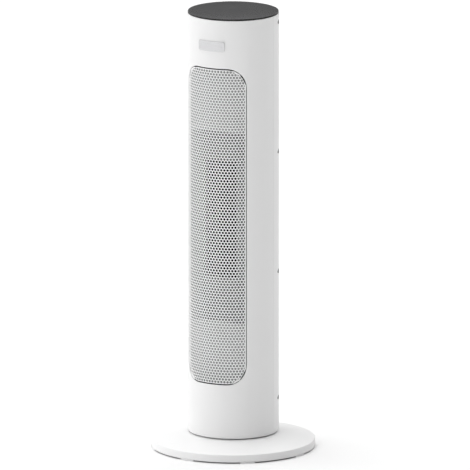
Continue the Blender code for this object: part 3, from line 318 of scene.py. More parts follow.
def wire(tree, shader, colour, roughness, normal):
    """Leads what a finish works out into its shader."""
    for label, source in (("Base Color", colour), ("Roughness", roughness), ("Normal", normal)):
        tree.links.new(source, shader.inputs[label])


def grained(
    name, colour, roughness, grain=2400.0, depth=0.00002, drift=0.02, dust=0.0, spread=0.05, **sockets
):
    """A moulded, sprayed or cast finish: fine grain, slow drift of tone and, where asked, dust."""
    material, tree, shader = new_material(name, **sockets)
    group = place_group(tree, surface_grain, Scale=grain, Depth=depth)
    tone = between(tree, group.outputs["Drift"], 0.0, 1.0)
    base = blend_colours(tree, tone, shade(colour, 1 - drift), shade(colour, 1 + drift))
    if dust:
        settled = place_group(tree, settled_dust, Amount=dust)
        base = blend_colours(tree, settled.outputs["Mask"], base, DUST_COLOUR)
    rough = between(tree, group.outputs["Speckle"], roughness - spread, roughness + spread)
    wire(tree, shader, base, rough, group.outputs["Normal"])
    return material


def drawn(name, colour, roughness, lines=(40.0, 40.0, 3000.0), depth=0.00001, **sockets):
    """A bare metal finish with fine drawn lines."""
    spread = 0.08
    material, tree, shader = new_material(name, **sockets)
    along = dict(zip(("Along_X", "Along_Y", "Along_Z"), lines))
    group = place_group(tree, drawn_lines, Depth=depth, **along)
    base = blend_colours(tree, group.outputs["Lines"], shade(colour, 0.82), shade(colour, 1.12))
    rough = between(tree, group.outputs["Lines"], roughness - spread, roughness + spread)
    wire(tree, shader, base, rough, group.outputs["Normal"])
    return material


# Finishes, one function each, named as the record's material slots


def white_plastic():
    return grained(
        "white_plastic", looks().finish.white, 0.42, drift=0.006, dust=0.03, Specular_IOR_Level=0.45
    )


# Mid grey, much darker than white moulded duct walls: painted shade of the casing's inside, as seen through the
# outlet holes.
def duct_plastic():
    return grained("duct_plastic", (0.41, 0.41, 0.41), 0.60, grain=1500.0, depth=0.00004, drift=0.02)


def grille_metal():
    return grained(
        "grille_metal", looks().finish.sheet, 0.42, grain=900.0, depth=0.00003, drift=0.01, spread=0.03
    )


def smoke_panel():
    return grained(
        "smoke_panel", looks().finish.panel, 0.30, grain=3000.0, depth=0.000008, drift=0.03, dust=0.05
    )


def foot_rubber():
    return grained("foot_rubber", looks().finish.rubber, 0.75, grain=1200.0, depth=0.00006, drift=0.03)


def badge_metal():
    return drawn("badge_metal", (0.68, 0.68, 0.69), 0.34, lines=(60.0, 60.0, 6000.0), Metallic=0.9)


def black_plastic():
    return grained(
        "black_plastic", (0.014, 0.014, 0.0145), 0.55, grain=1300.0, depth=0.00006, drift=0.08,
        Specular_IOR_Level=0.25,
    )


def grey_plastic():
    return grained("grey_plastic", (0.14, 0.14, 0.14), 0.62, grain=800.0, depth=0.00006, drift=0.06)


def acetal():
    return grained(
        "acetal", (0.85, 0.84, 0.80), 0.35, grain=400.0, depth=0.00001, drift=0.02, Subsurface_Weight=0.1
    )


# Near black, far darker than bare aluminium fins: painted shade of the deep cavity behind the outlet, over fins
# with drawn metal lines.
def heater_fins():
    return drawn(
        "heater_fins", (0.006, 0.006, 0.006), 0.6, lines=(500.0, 3000.0, 500.0), Specular_IOR_Level=0.1
    )


def steel():
    return drawn("steel", (0.62, 0.62, 0.64), 0.35, lines=(900.0, 900.0, 2500.0), Metallic=1.0)


def zinc_steel():
    """Zinc plate, with the faint crystal patches of plated sheet."""
    material, tree, shader = new_material("zinc_steel", Metallic=1.0)
    place = object_place(tree)
    patches = add(tree, "ShaderNodeTexVoronoi", (("Vector", place), ("Scale", 260.0)))
    tone = add(tree, "ShaderNodeSeparateColor", (("Color", patches.outputs["Color"]),)).outputs[0]
    base = blend_colours(tree, tone, (0.46, 0.47, 0.49, 1.0), (0.60, 0.61, 0.63, 1.0))
    grain = place_group(tree, surface_grain, Scale=1800.0, Depth=0.00001)
    wire(tree, shader, base, between(tree, tone, 0.34, 0.48), grain.outputs["Normal"])
    return material


def bronze():
    return grained(
        "bronze", (0.55, 0.38, 0.18), 0.42, grain=2600.0, depth=0.00005, drift=0.15, spread=0.12, Metallic=1.0
    )


def circuit_board():
    """Green solder mask over copper tracks that run in both directions."""
    material, tree, shader = new_material("circuit_board", Coat_Weight=0.3, Coat_Roughness=0.2)
    place = object_place(tree)
    tracks = add(
        tree, "ShaderNodeTexBrick",
        (("Vector", place), ("Scale", 90.0), ("Mortar Size", 0.06), ("Color1", (0, 0, 0, 1)),
         ("Color2", (0, 0, 0, 1)), ("Mortar", (1, 1, 1, 1))),
    )
    mask = tracks.outputs["Fac"]
    base = blend_colours(tree, mask, (0.02, 0.12, 0.05, 1.0), (0.06, 0.26, 0.11, 1.0))
    bump = add(tree, "ShaderNodeBump", (("Height", mask), ("Distance", 0.00003)))
    wire(tree, shader, base, between(tree, mask, 0.40, 0.32), bump.outputs["Normal"])
    return material


def woven(name, first, second, roughness, threads, depth):
    """Threads that cross, upright and level, as in a mesh or a braid."""
    material, tree, shader = new_material(name)
    place = object_place(tree)
    waves = [
        add(
            tree, "ShaderNodeTexWave", (("Vector", place), ("Scale", threads)),
            bands_direction=direction, wave_profile="SIN",
        ).outputs["Fac"]
        for direction in ("DIAGONAL", "Z")
    ]
    height = add(tree, "ShaderNodeMath", ((0, waves[0]), (1, waves[1])), operation="MAXIMUM").outputs[0]
    base = blend_colours(tree, height, (*first, 1.0), (*second, 1.0))
    rough = between(tree, height, roughness + 0.1, roughness - 0.1)
    bump = add(tree, "ShaderNodeBump", (("Height", height), ("Distance", depth)))
    wire(tree, shader, base, rough, bump.outputs["Normal"])
    return material


def filter_mesh():
    return woven("filter_mesh", (0.012, 0.012, 0.012), (0.09, 0.09, 0.09), 0.8, 260.0, 0.0002)


def lead_insulation():
    return woven("lead_insulation", (0.58, 0.57, 0.53), (0.82, 0.81, 0.77), 0.65, 420.0, 0.0001)


FINISHES = {
    make.__name__: make
    for make in (
        white_plastic, duct_plastic, grille_metal, smoke_panel, foot_rubber, badge_metal, black_plastic,
        grey_plastic, acetal, heater_fins, steel, zinc_steel, bronze, circuit_board, filter_mesh,
        lead_insulation,
    )
}


def finish(slot):
    """The finish of a material slot, made the first time it is asked for."""
    return bpy.data.materials.get("finish_" + slot) or FINISHES[slot]()


def body_of_node(node):
    bodies = frame["record"]["behaviour"]["bodies"]
    return next(body for body, members in bodies.items() if node in members)


def slot_of_node(node):
    return next(part["material_slot"] for part in frame["record"]["subparts"] if part["node"] == node)


# Mesh tools


def new_object(name, bm):
    """A linked object from a bmesh, with its faces pointing out."""
    bmesh.ops.recalc_face_normals(bm, faces=bm.faces)
    mesh = bpy.data.meshes.new(name)
    bm.to_mesh(mesh)
    bm.free()
    obj = bpy.data.objects.new(name, mesh)
    bpy.context.scene.collection.objects.link(obj)
    return obj


def settle(obj, sharp=math.radians(32)):
    """Turns what the modifiers make into the object's own mesh, and shades it."""
    if obj.modifiers:
        bpy.context.view_layer.update()
        evaluated = obj.evaluated_get(bpy.context.evaluated_depsgraph_get())
        mesh = bpy.data.meshes.new_from_object(evaluated)
        tools = [modifier.object for modifier in obj.modifiers if modifier.type == "BOOLEAN"]
        obj.modifiers.clear()
        obj.data = mesh
        for tool in tools:
            bpy.data.objects.remove(tool)
    obj.data.shade_smooth()
    obj.data.set_sharp_from_angle(angle=sharp)
    return obj


def boolean(obj, tool, operation):
    modifier = obj.modifiers.new(operation, "BOOLEAN")
    modifier.operation = operation
    modifier.solver = "EXACT"
    modifier.object = tool
    tool.hide_render = True


def install(obj, *nodes, sharp=math.radians(32)):
    """Finishes a piece that stands for CAD nodes: its shading, finish, body and slot."""
    settle(obj, sharp)
    slot = slot_of_node(nodes[0])
    obj.data.materials.clear()
    obj.data.materials.append(finish(slot))
    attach(obj, body_of_node(nodes[0]))
    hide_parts(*nodes)
    return obj


def add_extra(obj, body, slot):
    """Finishes a piece that has no CAD node of its own."""
    settle(obj)
    obj.data.materials.append(finish(slot))
    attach(obj, body)
    return obj


def add_turned(bm, outline, steps=128, centre=(0, 0), start=0.0, sweep=math.tau):
    """Adds a closed (radius, height) outline turned about an upright axis."""
    x, y = centre
    made = [
        bm.verts.new((x + r * math.cos(start), y + r * math.sin(start), z)) for r, z in outline
    ]
    if sweep < math.tau:
        section = [bm.faces.new(made)]
    else:
        section = [bm.edges.new(pair) for pair in zip(made, made[1:] + made[:1])]
    bmesh.ops.spin(bm, geom=section, cent=(x, y, 0), axis=(0, 0, 1), steps=steps, angle=sweep)
    bmesh.ops.remove_doubles(bm, verts=bm.verts, dist=1e-6)
    loose = [edge for edge in bm.edges if not edge.link_faces]
    bmesh.ops.delete(bm, geom=loose, context="EDGES")


def turned(name, outline, **shape):
    bm = bmesh.new()
    add_turned(bm, outline, **shape)
    return new_object(name, bm)


def rods(name, ends, radius, steps=32):
    """Round bars between pairs of points, as one object."""
    bm = bmesh.new()
    for start, end in ends:
        start, end = Vector(start), Vector(end)
        along = end - start
        turn = Vector((0, 0, 1)).rotation_difference(along).to_matrix().to_4x4()
        matrix = Matrix.Translation((start + end) / 2) @ turn
        bmesh.ops.create_cone(
            bm, cap_ends=True, segments=steps, radius1=radius, radius2=radius, depth=along.length,
            matrix=matrix,
        )
    return new_object(name, bm)


def add_block(bm, low, high):
    low, high = Vector(low), Vector(high)
    size = Matrix.Diagonal((*(high - low), 1.0))
    bmesh.ops.create_cube(bm, size=1, matrix=Matrix.Translation((low + high) / 2) @ size)


def block(name, low, high):
    bm = bmesh.new()
    add_block(bm, low, high)
    return new_object(name, bm)


def add_prism(bm, outline, along):
    """Adds the solid that a flat outline of points sweeps out along a vector."""
    face = bm.faces.new([bm.verts.new(point) for point in outline])
    grown = bmesh.ops.extrude_face_region(bm, geom=[face])["geom"]
    moved = [item for item in grown if isinstance(item, bmesh.types.BMVert)]
    bmesh.ops.translate(bm, verts=moved, vec=along)


def round_edges(obj, width, segments=3, limit=math.radians(40)):
    """Rounds the sharp edges of a piece."""
    modifier = obj.modifiers.new("round", "BEVEL")
    modifier.width = width
    modifier.segments = segments
    modifier.limit_method = "ANGLE"
    modifier.angle_limit = limit
    return obj


def quarter(steps, radius_across, radius_up):
    """Points of a quarter round, from (0, 0) to (-radius_across, radius_up), that bulges outwards."""
    points = []
    for k in range(steps + 1):
        angle = math.pi / 2 * k / steps
        points.append((-radius_across * (1 - math.cos(angle)), radius_up * math.sin(angle)))
    return points


def wrap(radius, middle, u, z):
    """A point at a distance u along the casing's circle from the middle angle."""
    angle = middle + u / CASING_RADIUS
    return (radius * math.cos(angle), radius * math.sin(angle), z)


class Opening:
    """A rounded rectangle in the casing: its half width along the circle, heights and corner."""

    def __init__(self, node, ledge, corner):
        low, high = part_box(node)
        angle = math.asin(high.x / CORE_RADIUS)
        self.half_width = angle * CASING_RADIUS - ledge
        self.low = low.z + ledge
        self.high = high.z - ledge
        self.corner = corner

    def edges(self, inset=0.0, corner_steps=12, step=0.0025):
        """The lower edge from left to right as (u, z) points, and the upper edge above it."""
        half = self.half_width - inset
        corner = self.corner - inset
        low, high = self.low + inset, self.high - inset
        turns = [math.pi / 2 * k / corner_steps for k in range(corner_steps + 1)]
        left = [(corner * (1 - math.cos(t)) - half, low + corner * (1 - math.sin(t))) for t in turns]
        straight = self.half_width - self.corner
        count = max(1, round(2 * straight / step))
        flat = [(straight * (2 * k / count - 1), low) for k in range(1, count)]
        right = [(-u, z) for u, z in reversed(left)]
        lower = left + flat + right
        return lower, [(u, low + high - z) for u, z in lower]

    def ring(self, inset=0.0):
        lower, upper = self.edges(inset)
        return lower + upper[::-1]


def bridge_rings(bm, rings):
    """Faces between each closed ring and the next one, which has as many vertices."""
    for first, second in zip(rings, rings[1:]):
        for k in range(len(first)):
            after = (k + 1) % len(first)
            bm.faces.new((first[k], first[after], second[after], second[k]))


def add_ring(bm, opening, middle, inset, radius):
    return [bm.verts.new(wrap(radius, middle, u, z)) for u, z in opening.ring(inset)]


def add_curved_panel(bm, opening, middle, section):
    """A closed panel on the cylinder, whose section runs from outer to inner face as (inset, radius)."""
    rings = [add_ring(bm, opening, middle, inset, radius) for inset, radius in section]
    for ring in (rings[0], rings[-1]):
        half = len(ring) // 2
        lower, upper = ring[:half], ring[half:][::-1]
        for k in range(half - 1):
            bm.faces.new((lower[k], lower[k + 1], upper[k + 1], upper[k]))
    bridge_rings(bm, rings)


# Casing


def half_shell(name, middle, opening):
    """Half of the casing, a closed body with a rounded opening in the middle."""
    casing = looks().casing
    edge = casing.edge_round
    seam = CASING_RADIUS * math.pi / 2 - FIT_GAP / 2
    low = CASING_LOW + casing.lower_height
    top_round = 0.0003
    count = round((seam - opening.half_width) / (casing.step * CASING_RADIUS))
    bm = bmesh.new()

    def surface(radius, inset, bottom, top):
        """All the upright lines of one face, and the ring of vertices round its opening."""
        lower, upper = opening.edges(inset)
        split = (lower[0][1], upper[0][1])
        near = lower[-1][0]
        beside = [near + (seam - near) * k / count for k in range(1, count + 1)]

        def line(u, heights):
            return [bm.verts.new(wrap(radius, middle, u, z)) for z in heights]

        whole = (bottom, *split, top)
        left = [line(-u, whole) for u in reversed(beside)] + [line(-near, whole)]
        right = [line(near, whole)] + [line(u, whole) for u in beside]
        parts = [
            (line(u, (bottom, z)), line(u, (over, top)))
            for (u, z), (_, over) in zip(lower[1:-1], upper[1:-1])
        ]
        for side in (left, right):
            for first, second in zip(side, side[1:]):
                for k in range(3):
                    bm.faces.new((first[k], second[k], second[k + 1], first[k + 1]))
        below = [left[-1][:2]] + [part[0] for part in parts] + [right[0][:2]]
        above = [left[-1][2:]] + [part[1] for part in parts] + [right[0][2:]]
        for strip in (below, above):
            for first, second in zip(strip, strip[1:]):
                bm.faces.new((first[0], second[0], second[1], first[1]))
        ring = [pair[1] for pair in below] + [pair[0] for pair in reversed(above)]
        feet = [made[0] for made in left[:-1] + below + right[1:]]
        tops = [made[-1] for made in left[:-1] + above + right[1:]]
        places = [-u for u in reversed(beside)] + [u for u, _ in lower] + beside
        return ring, feet, tops, places, (left[0], right[-1])

    outer = surface(CASING_RADIUS, -edge, low, CASING_HIGH - top_round)
    inner = surface(INNER_RADIUS, 0.0, LIP_TOP, CASING_HIGH)
    rings = [outer[0]]
    for across, up in quarter(4, edge, edge)[1:]:
        rings.append(add_ring(bm, opening, middle, up - edge, CASING_RADIUS + across))
    rings.append(inner[0])
    bridge_rings(bm, rings)

    section = []
    for across, up in quarter(6, casing.lower_inset, casing.lower_height)[1:]:
        section.append((CASING_RADIUS + across, low - up))
    section += [(LIP_RADIUS, CASING_LOW), (LIP_RADIUS, LIP_TOP)]
    lines = [outer[1]]
    lines += [[bm.verts.new(wrap(r, middle, u, z)) for u in outer[3]] for r, z in section]
    lines.append(inner[1])
    brow = [(CASING_RADIUS - top_round, CASING_HIGH)]
    tops = [outer[2]]
    tops += [[bm.verts.new(wrap(r, middle, u, z)) for u in outer[3]] for r, z in brow]
    tops.append(inner[2])
    for rows in (lines, tops):
        for first, second in zip(rows, rows[1:]):
            for k in range(len(first) - 1):
                bm.faces.new((first[k], first[k + 1], second[k + 1], second[k]))
    for end, side in ((0, 0), (-1, 1)):
        outline = list(outer[4][side]) + [row[end] for row in tops[1:-1]]
        outline += list(reversed(inner[4][side])) + [row[end] for row in reversed(lines[1:-1])]
        bm.faces.new(outline)
    return new_object(name, bm)


def outlet_opening():
    grille = looks().grille
    return Opening("front_grille", grille.flange - grille.margin, looks().casing.outlet_corner)


def intake_opening():
    ledge = 0.0035
    return Opening("intake_cover", ledge, looks().casing.intake_corner)


def screw_places():
    """The axis of each casing screw, and the height of its head's seat along Y."""
    places = []
    for k in range(1, 9):
        low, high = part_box(f"case_screw_{k}")
        places.append(((low.x + high.x) / 2, high.y - CASING_SCREW_HEAD, (low.z + high.z) / 2))
    return places


def casing_core(name, radius):
    """A plain cylinder as tall as the casing, which limits the pieces in its wall."""
    outline = [(0, CASING_LOW), (radius, CASING_LOW), (radius, CASING_HIGH), (0, CASING_HIGH)]
    return turned(name, outline, steps=180)


class FrontShell(bpy.types.Operator):
    """Front half of the casing, with the rounded outlet opening and the screw bosses"""

    bl_idname = "tower_heater.front_shell"
    bl_label = "Front shell"

    def execute(self, context):
        shell = half_shell("front_shell", FRONT, outlet_opening())
        depth = 0.014
        boss_radius = 0.0046
        hole_radius = 0.0018
        bosses = [((x, -FIT_GAP / 2, z), (x, -depth, z)) for x, _, z in screw_places()]
        boolean(shell, rods("front_bosses", bosses, boss_radius), "UNION")
        holes = [((x, FIT_GAP, z), (x, WALL - depth, z)) for x, _, z in screw_places()]
        boolean(shell, rods("front_boss_holes", holes, hole_radius), "DIFFERENCE")
        install(shell, "front_casing")
        return {"FINISHED"}


def cut_switch_seat(shell):
    """The shallow seat of the mains switch in the casing, and the hole inside it."""
    low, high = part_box("switch_frame")
    seat = high.y - SWITCH_FLANGE - FIT_GAP
    grow = Vector((FIT_GAP, 0, FIT_GAP))
    low, high = low - grow, high + grow
    sink = block("switch_seat", (low.x, seat, low.z), (high.x, CASING_RADIUS + WALL, high.z))
    boolean(shell, sink, "DIFFERENCE")
    rim = Vector((0.0025, 0, 0.0025))
    low, high = low + rim, high - rim
    hole = block("switch_hole", (low.x, INNER_RADIUS - WALL, low.z), (high.x, CASING_RADIUS, high.z))
    boolean(shell, hole, "DIFFERENCE")


def cut_cord_hole(shell):
    low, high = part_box("cord_gland")
    z = (low.z + high.z) / 2
    inlet = [((0, INNER_RADIUS - WALL, z), (0, CASING_RADIUS + WALL, z))]
    boolean(shell, rods("cord_hole", inlet, CORD_NECK + FIT_GAP, 48), "DIFFERENCE")


def add_pocket_liners(pockets, radius, steps):
    """Thin dark liners in the screw pockets, sunk a little below the casing's surface: painted shade that darkens
    the pockets' insides.
    """
    wall, sunk, clearance = 0.0005, 0.0004, 0.00008
    liner = rods("pocket_shade_liners", pockets, radius - clearance, steps)
    boolean(liner, casing_core("liner_limit", CASING_RADIUS - sunk), "INTERSECT")
    bores = [((x, seat - FIT_GAP, z), (x, CASING_RADIUS, z)) for x, seat, z in screw_places()]
    boolean(liner, rods("liner_bores", bores, radius - wall, steps), "DIFFERENCE")
    add_extra(liner, "tower", "grey_plastic")


class RearShell(bpy.types.Operator):
    """Rear half of the casing, with its screw pockets, intake, switch seat and cord hole"""

    bl_idname = "tower_heater.rear_shell"
    bl_label = "Rear shell"

    def execute(self, context):
        shell = half_shell("rear_shell", REAR, intake_opening())
        places = screw_places()
        face = FIT_GAP / 2
        back = CASING_RADIUS
        pocket, steps = 0.004, 40
        sleeve_wall = 0.0016
        hole_radius = 0.00175
        sleeves = [((x, face, z), (x, back, z)) for x, _, z in places]
        sleeve = rods("sleeves", sleeves, pocket + sleeve_wall, steps)
        boolean(sleeve, casing_core("sleeve_limit", back - WALL / 2), "INTERSECT")
        settle(sleeve)
        boolean(shell, sleeve, "UNION")
        pockets = [((x, seat, z), (x, back, z)) for x, seat, z in places]
        boolean(shell, rods("pockets", pockets, pocket, steps), "DIFFERENCE")
        holes = [((x, -face, z), (x, seat + FIT_GAP, z)) for x, seat, z in places]
        boolean(shell, rods("screw_holes", holes, hole_radius, 24), "DIFFERENCE")
        cut_switch_seat(shell)
        cut_cord_hole(shell)
        install(shell, "rear_casing")
        # The dark liners paint the shade inside the screw pockets.
        add_pocket_liners(pockets, pocket, steps)
        return {"FINISHED"}


# Pierced sheets


def outside_distance(opening, inset, u, z):
    """How far a point lies outside the opening's outline, drawn in by an inset."""
    corner = opening.corner - inset
    across = abs(u) - (opening.half_width - opening.corner)
    up = abs(z - (opening.low + opening.high) / 2) - ((opening.high - opening.low) / 2 - opening.corner)
    return math.hypot(max(across, 0), max(up, 0)) + min(max(across, up), 0) - corner


def add_pierced_sheet(bm, opening, middle, inset, radii, loops, is_hole):
    """A curved sheet with the loops cut out where is_hole says so. Returns its two outer rings."""
    outline = opening.ring(inset)
    points = list(outline)
    edges = [(k, (k + 1) % len(outline)) for k in range(len(outline))]
    for loop in loops:
        first = len(points)
        points += loop
        edges += [(first + k, first + (k + 1) % len(loop)) for k in range(len(loop))]
    flat, _, faces, origins, _, _ = delaunay_2d_cdt([Vector(p) for p in points], edges, [], 0, 1e-7, True)
    kept = []
    for face in faces:
        centre = sum((flat[k] for k in face), Vector((0, 0))) / len(face)
        if not is_hole(centre.x, centre.y):
            kept.append(face)
    used = sorted({k for face in kept for k in face})
    layers = [{k: bm.verts.new(wrap(radius, middle, *flat[k])) for k in used} for radius in radii]
    outer, inner = layers
    place = {origin: k for k in used for origin in origins[k] if origin < len(outline)}
    order = [place[k] for k in range(len(outline))]
    rim = {frozenset(pair) for pair in zip(order, order[1:] + order[:1])}
    sides = {}
    for face in kept:
        bm.faces.new([outer[k] for k in face])
        bm.faces.new([inner[k] for k in reversed(face)])
        for pair in zip(face, face[1:] + face[:1]):
            key = frozenset(pair)
            sides[key] = None if key in sides else pair
    for key, pair in sides.items():
        if pair and key not in rim:
            a, b = pair
            bm.faces.new((outer[b], outer[a], inner[a], inner[b]))
    return [outer[k] for k in order], [inner[k] for k in order]


def inside_ring(ring, u, z):
    """Whether a point lies inside a closed convex ring that runs anticlockwise."""
    return all(
        (after[0] - before[0]) * (z - before[1]) > (after[1] - before[1]) * (u - before[0])
        for before, after in zip(ring, ring[1:] + ring[:1])
    )


def hole_centres(opening, pitch, clip, reach):
    """The middles of holes in a 60 degree stagger, as far as they reach into the clipped outline."""
    row_pitch = pitch * math.sqrt(3) / 2
    rows = math.ceil((opening.high - opening.low) / 2 / row_pitch)
    columns = math.ceil(opening.half_width / pitch) + 1
    middle = (opening.low + opening.high) / 2
    centres = []
    for row in range(-rows, rows + 1):
        shift = pitch / 2 * (row % 2)
        for column in range(-columns, columns + 1):
            u, z = column * pitch + shift, middle + row * row_pitch
            if outside_distance(opening, clip, u, z) < reach:
                centres.append((u, z))
    return centres


class OutletGrille(bpy.types.Operator):
    """Perforated outlet sheet, its round holes running up to a rolled edge and a hidden flange"""

    bl_idname = "tower_heater.outlet_grille"
    bl_label = "Outlet grille"

    def execute(self, context):
        grille = looks().grille
        opening = outlet_opening()
        radius = CASING_RADIUS - grille.recess
        hole = grille.hole_diameter / 2
        sides = grille.hole_sides
        edge = grille.margin + grille.roll
        solid_strip = 0.0002
        clip = edge + solid_strip
        reach = 0.4 * hole
        centres = hole_centres(opening, grille.hole_pitch, clip, reach)
        turns = [math.tau * (k + 0.5) / sides for k in range(sides)]
        loops = [[(u + hole * math.cos(t), z + hole * math.sin(t)) for t in turns] for u, z in centres]
        clip_ring = opening.ring(clip)
        loops.append(clip_ring)
        row_pitch = grille.hole_pitch * math.sqrt(3) / 2
        middle = (opening.low + opening.high) / 2
        known = {(round(u / grille.hole_pitch * 2), round((z - middle) / row_pitch)) for u, z in centres}

        def is_hole(u, z):
            if outside_distance(opening, clip, u, z) > -hole and not inside_ring(clip_ring, u, z):
                return False
            row = round((z - middle) / row_pitch)
            shift = grille.hole_pitch / 2 * (row % 2)
            column = round((u - shift) / grille.hole_pitch)
            across = u - shift - column * grille.hole_pitch
            up = z - middle - row * row_pitch
            if (2 * column + row % 2, row) not in known:
                return False
            turn = (math.atan2(up, across) - math.pi / sides) % (math.tau / sides) - math.pi / sides
            return math.hypot(across, up) * math.cos(turn) < hole * math.cos(math.pi / sides)

        bm = bmesh.new()
        radii = (radius, radius - grille.sheet)
        first, last = add_pierced_sheet(bm, opening, FRONT, edge, radii, loops, is_hole)
        fall = 0.8 * grille.roll
        foot = CORE_RADIUS
        section = [(edge - up, radius + across) for across, up in quarter(5, fall, grille.roll)[1:]]
        section += [(grille.margin, foot), (grille.margin - grille.flange, foot)]
        section += [(grille.margin - grille.flange, foot - grille.sheet)]
        section += [(grille.margin + grille.sheet, foot - grille.sheet)]
        section += [(grille.margin + grille.sheet, radius - fall - grille.sheet / 3)]
        rings = [first] + [add_ring(bm, opening, FRONT, inset, r) for inset, r in section] + [last]
        bridge_rings(bm, rings)
        install(new_object("outlet_grille", bm), "front_grille", sharp=math.radians(40))

        # A near-black ring sunk behind the joint round the sheet: painted shadow that darkens the joint where the
        # sheet meets the casing.
        gap, sunk = 0.0001, 0.0018
        low, high = CORE_RADIUS + gap, CASING_RADIUS - sunk
        far = grille.margin - gap
        section = [(gap, low), (gap, high), (far, high), (far, low)]
        bm = bmesh.new()
        rings = [add_ring(bm, opening, FRONT, inset, r) for inset, r in section]
        bridge_rings(bm, rings + rings[:1])
        add_extra(new_object("grille_shadow_ring", bm), "tower", "black_plastic")
        return {"FINISHED"}


class IntakePanel(bpy.types.Operator):
    """Slotted intake cover on the rear, with the dust filter behind it"""

    bl_idname = "tower_heater.intake_panel"
    bl_label = "Intake panel"

    def execute(self, context):
        grille = looks().grille
        opening = intake_opening()
        half = grille.slot_height / 2
        rib_half_angle, side_angle = math.radians(3), math.radians(36)
        start, end = CASING_RADIUS * rib_half_angle + half, CASING_RADIUS * side_angle - half
        blank_height = 0.028
        rows = int((opening.high - opening.low - blank_height) / grille.slot_pitch) + 1
        middle = (opening.low + opening.high) / 2
        heights = [middle + (row - (rows - 1) / 2) * grille.slot_pitch for row in range(rows)]
        steps, turns = 16, 8
        loops = []
        for z in heights:
            lower = [(start + (end - start) * k / steps, z - half) for k in range(steps + 1)]
            round_end = [math.pi * (k / turns - 0.5) for k in range(1, turns)]
            right = [(end + half * math.cos(t), z + half * math.sin(t)) for t in round_end]
            upper = [(u, z + half) for u, _ in reversed(lower)]
            left = [(start - half * math.cos(t), z - half * math.sin(t)) for t in round_end]
            loop = lower + right + upper + left
            loops += [loop, [(-u, v) for u, v in reversed(loop)]]

        def is_hole(u, z):
            nearest = min(heights, key=lambda height: abs(height - z))
            along = min(max(abs(u), start), end)
            return math.hypot(abs(u) - along, z - nearest) < 0.985 * half

        edge, flange, sheet, rounding = 0.0011, 0.004, 0.002, 0.0006
        foot = CORE_RADIUS
        bm = bmesh.new()
        radii = (CASING_RADIUS, CASING_RADIUS - sheet)
        first, last = add_pierced_sheet(bm, opening, REAR, edge, radii, loops, is_hole)
        section = [(edge - up, CASING_RADIUS + across) for across, up in quarter(3, rounding, rounding)[1:]]
        margin = edge - rounding
        section += [(margin, foot), (margin - flange, foot), (margin - flange, foot - sheet / 2)]
        section += [(edge, foot - sheet / 2)]
        rings = [first] + [add_ring(bm, opening, REAR, inset, r) for inset, r in section] + [last]
        bridge_rings(bm, rings)
        install(new_object("intake_panel", bm), "intake_cover", sharp=math.radians(40))

        outer = foot - sheet / 2 - FIT_GAP
        thick, dish, back_dish = 0.001, 0.0004, 0.0002
        inner, rim = outer - thick, edge + 0.0005
        bm = bmesh.new()
        section = [(edge, outer - dish), (edge, outer), (margin, outer), (margin, inner)]
        section += [(rim, inner), (rim, inner + back_dish)]
        add_curved_panel(bm, opening, REAR, section)
        install(new_object("intake_filter", bm), "dust_filter")
        return {"FINISHED"}


# Top, nameplate and base


class TopPanel(bpy.types.Operator):
    """Smoked touch panel that closes the tower, with a softly rounded rim"""

    bl_idname = "tower_heater.top_panel"
    bl_label = "Top panel"

    def execute(self, context):
        low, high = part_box("top_panel")
        rounding, glass = 0.0004, 0.0008
        rim_gap, glue = 0.0002, 0.00005
        under = high.z - glass
        brow = high.z - rounding
        outline = [(0, under), (high.x, under)]
        outline += [(high.x + across, brow + up) for across, up in quarter(4, rounding, rounding)]
        outline.append((0, high.z))
        install(turned("touch_panel", outline, steps=180), "top_panel")
        radius, top = high.x - rim_gap, under - glue
        carrier = [(0, low.z), (radius, low.z), (radius, top), (0, top)]
        add_extra(turned("panel_carrier", carrier, steps=180), "tower", "black_plastic")
        return {"FINISHED"}


class Nameplate(bpy.types.Operator):
    """Blank nameplate over the outlet, with a raised border"""

    bl_idname = "tower_heater.nameplate"
    bl_label = "Nameplate"

    def execute(self, context):
        low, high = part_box("blank_badge")
        face = -low.y
        corner, rounding = 0.003, 0.0003
        plate = Opening("blank_badge", 0.0, corner)
        plate.half_width = CASING_RADIUS * math.asin(high.x / (face - rounding))
        border, sunk = 0.0010, 0.0002
        section = [(border + rounding, face - sunk), (border, face)]
        section += [(rounding - up, face + across) for across, up in quarter(3, rounding, rounding)]
        section += [(0, CASING_RADIUS + FIT_GAP)]
        bm = bmesh.new()
        add_curved_panel(bm, plate, FRONT, section)
        install(new_object("nameplate", bm), "blank_badge")
        return {"FINISHED"}


def base_outline():
    """The base shell's section: rim, crowned upper side, bearing groove, gear chamber and underside."""
    low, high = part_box("base_cover")
    radius, wall = high.x, 0.0028
    rim_top, rim_round, crown = low.z + 0.011, 0.0015, 0.0008
    outer = radius - rim_round
    bearing_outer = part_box("bearing_ring")[1].x + FIT_GAP
    bearing_inner = bearing_outer - 0.008
    chamber = bearing_inner - 2 * wall
    groove = high.z - 0.0017
    floor = high.z - 0.009
    spigot = 0.0125

    def dome(r):
        share = (outer - r) / (outer - CASING_RADIUS)
        return rim_top + (high.z - rim_top) * share + 4 * crown * share * (1 - share)

    steps = 14
    radii = [outer + (CASING_RADIUS - outer) * k / steps for k in range(1, steps + 1)]
    lip = 0.0021
    brow = rim_top - rim_round
    outline = [(radius - wall, lip), (radius, lip)]
    outline += [(radius + across, brow + up) for across, up in quarter(6, rim_round, rim_round)]
    outline += [(r, dome(r)) for r in radii]
    outline += [(bearing_outer, high.z), (bearing_outer, groove), (bearing_inner, groove)]
    outline += [(bearing_inner, high.z), (chamber, high.z), (chamber, floor), (spigot, floor)]
    outline += [(spigot, floor - wall), (chamber + wall, floor - wall), (chamber + wall, groove - wall)]
    outline += [(bearing_outer + wall, groove - wall)]
    outline += [(r, dome(r) - wall) for r in reversed(radii[:-1])]
    return outline + [(radius - wall, dome(outer) - wall)], dome


def foot_angles():
    """The direction of each foot pad from the axis."""
    first = math.radians(-95.5)
    return [first + math.tau * k / 8 for k in range(8)]


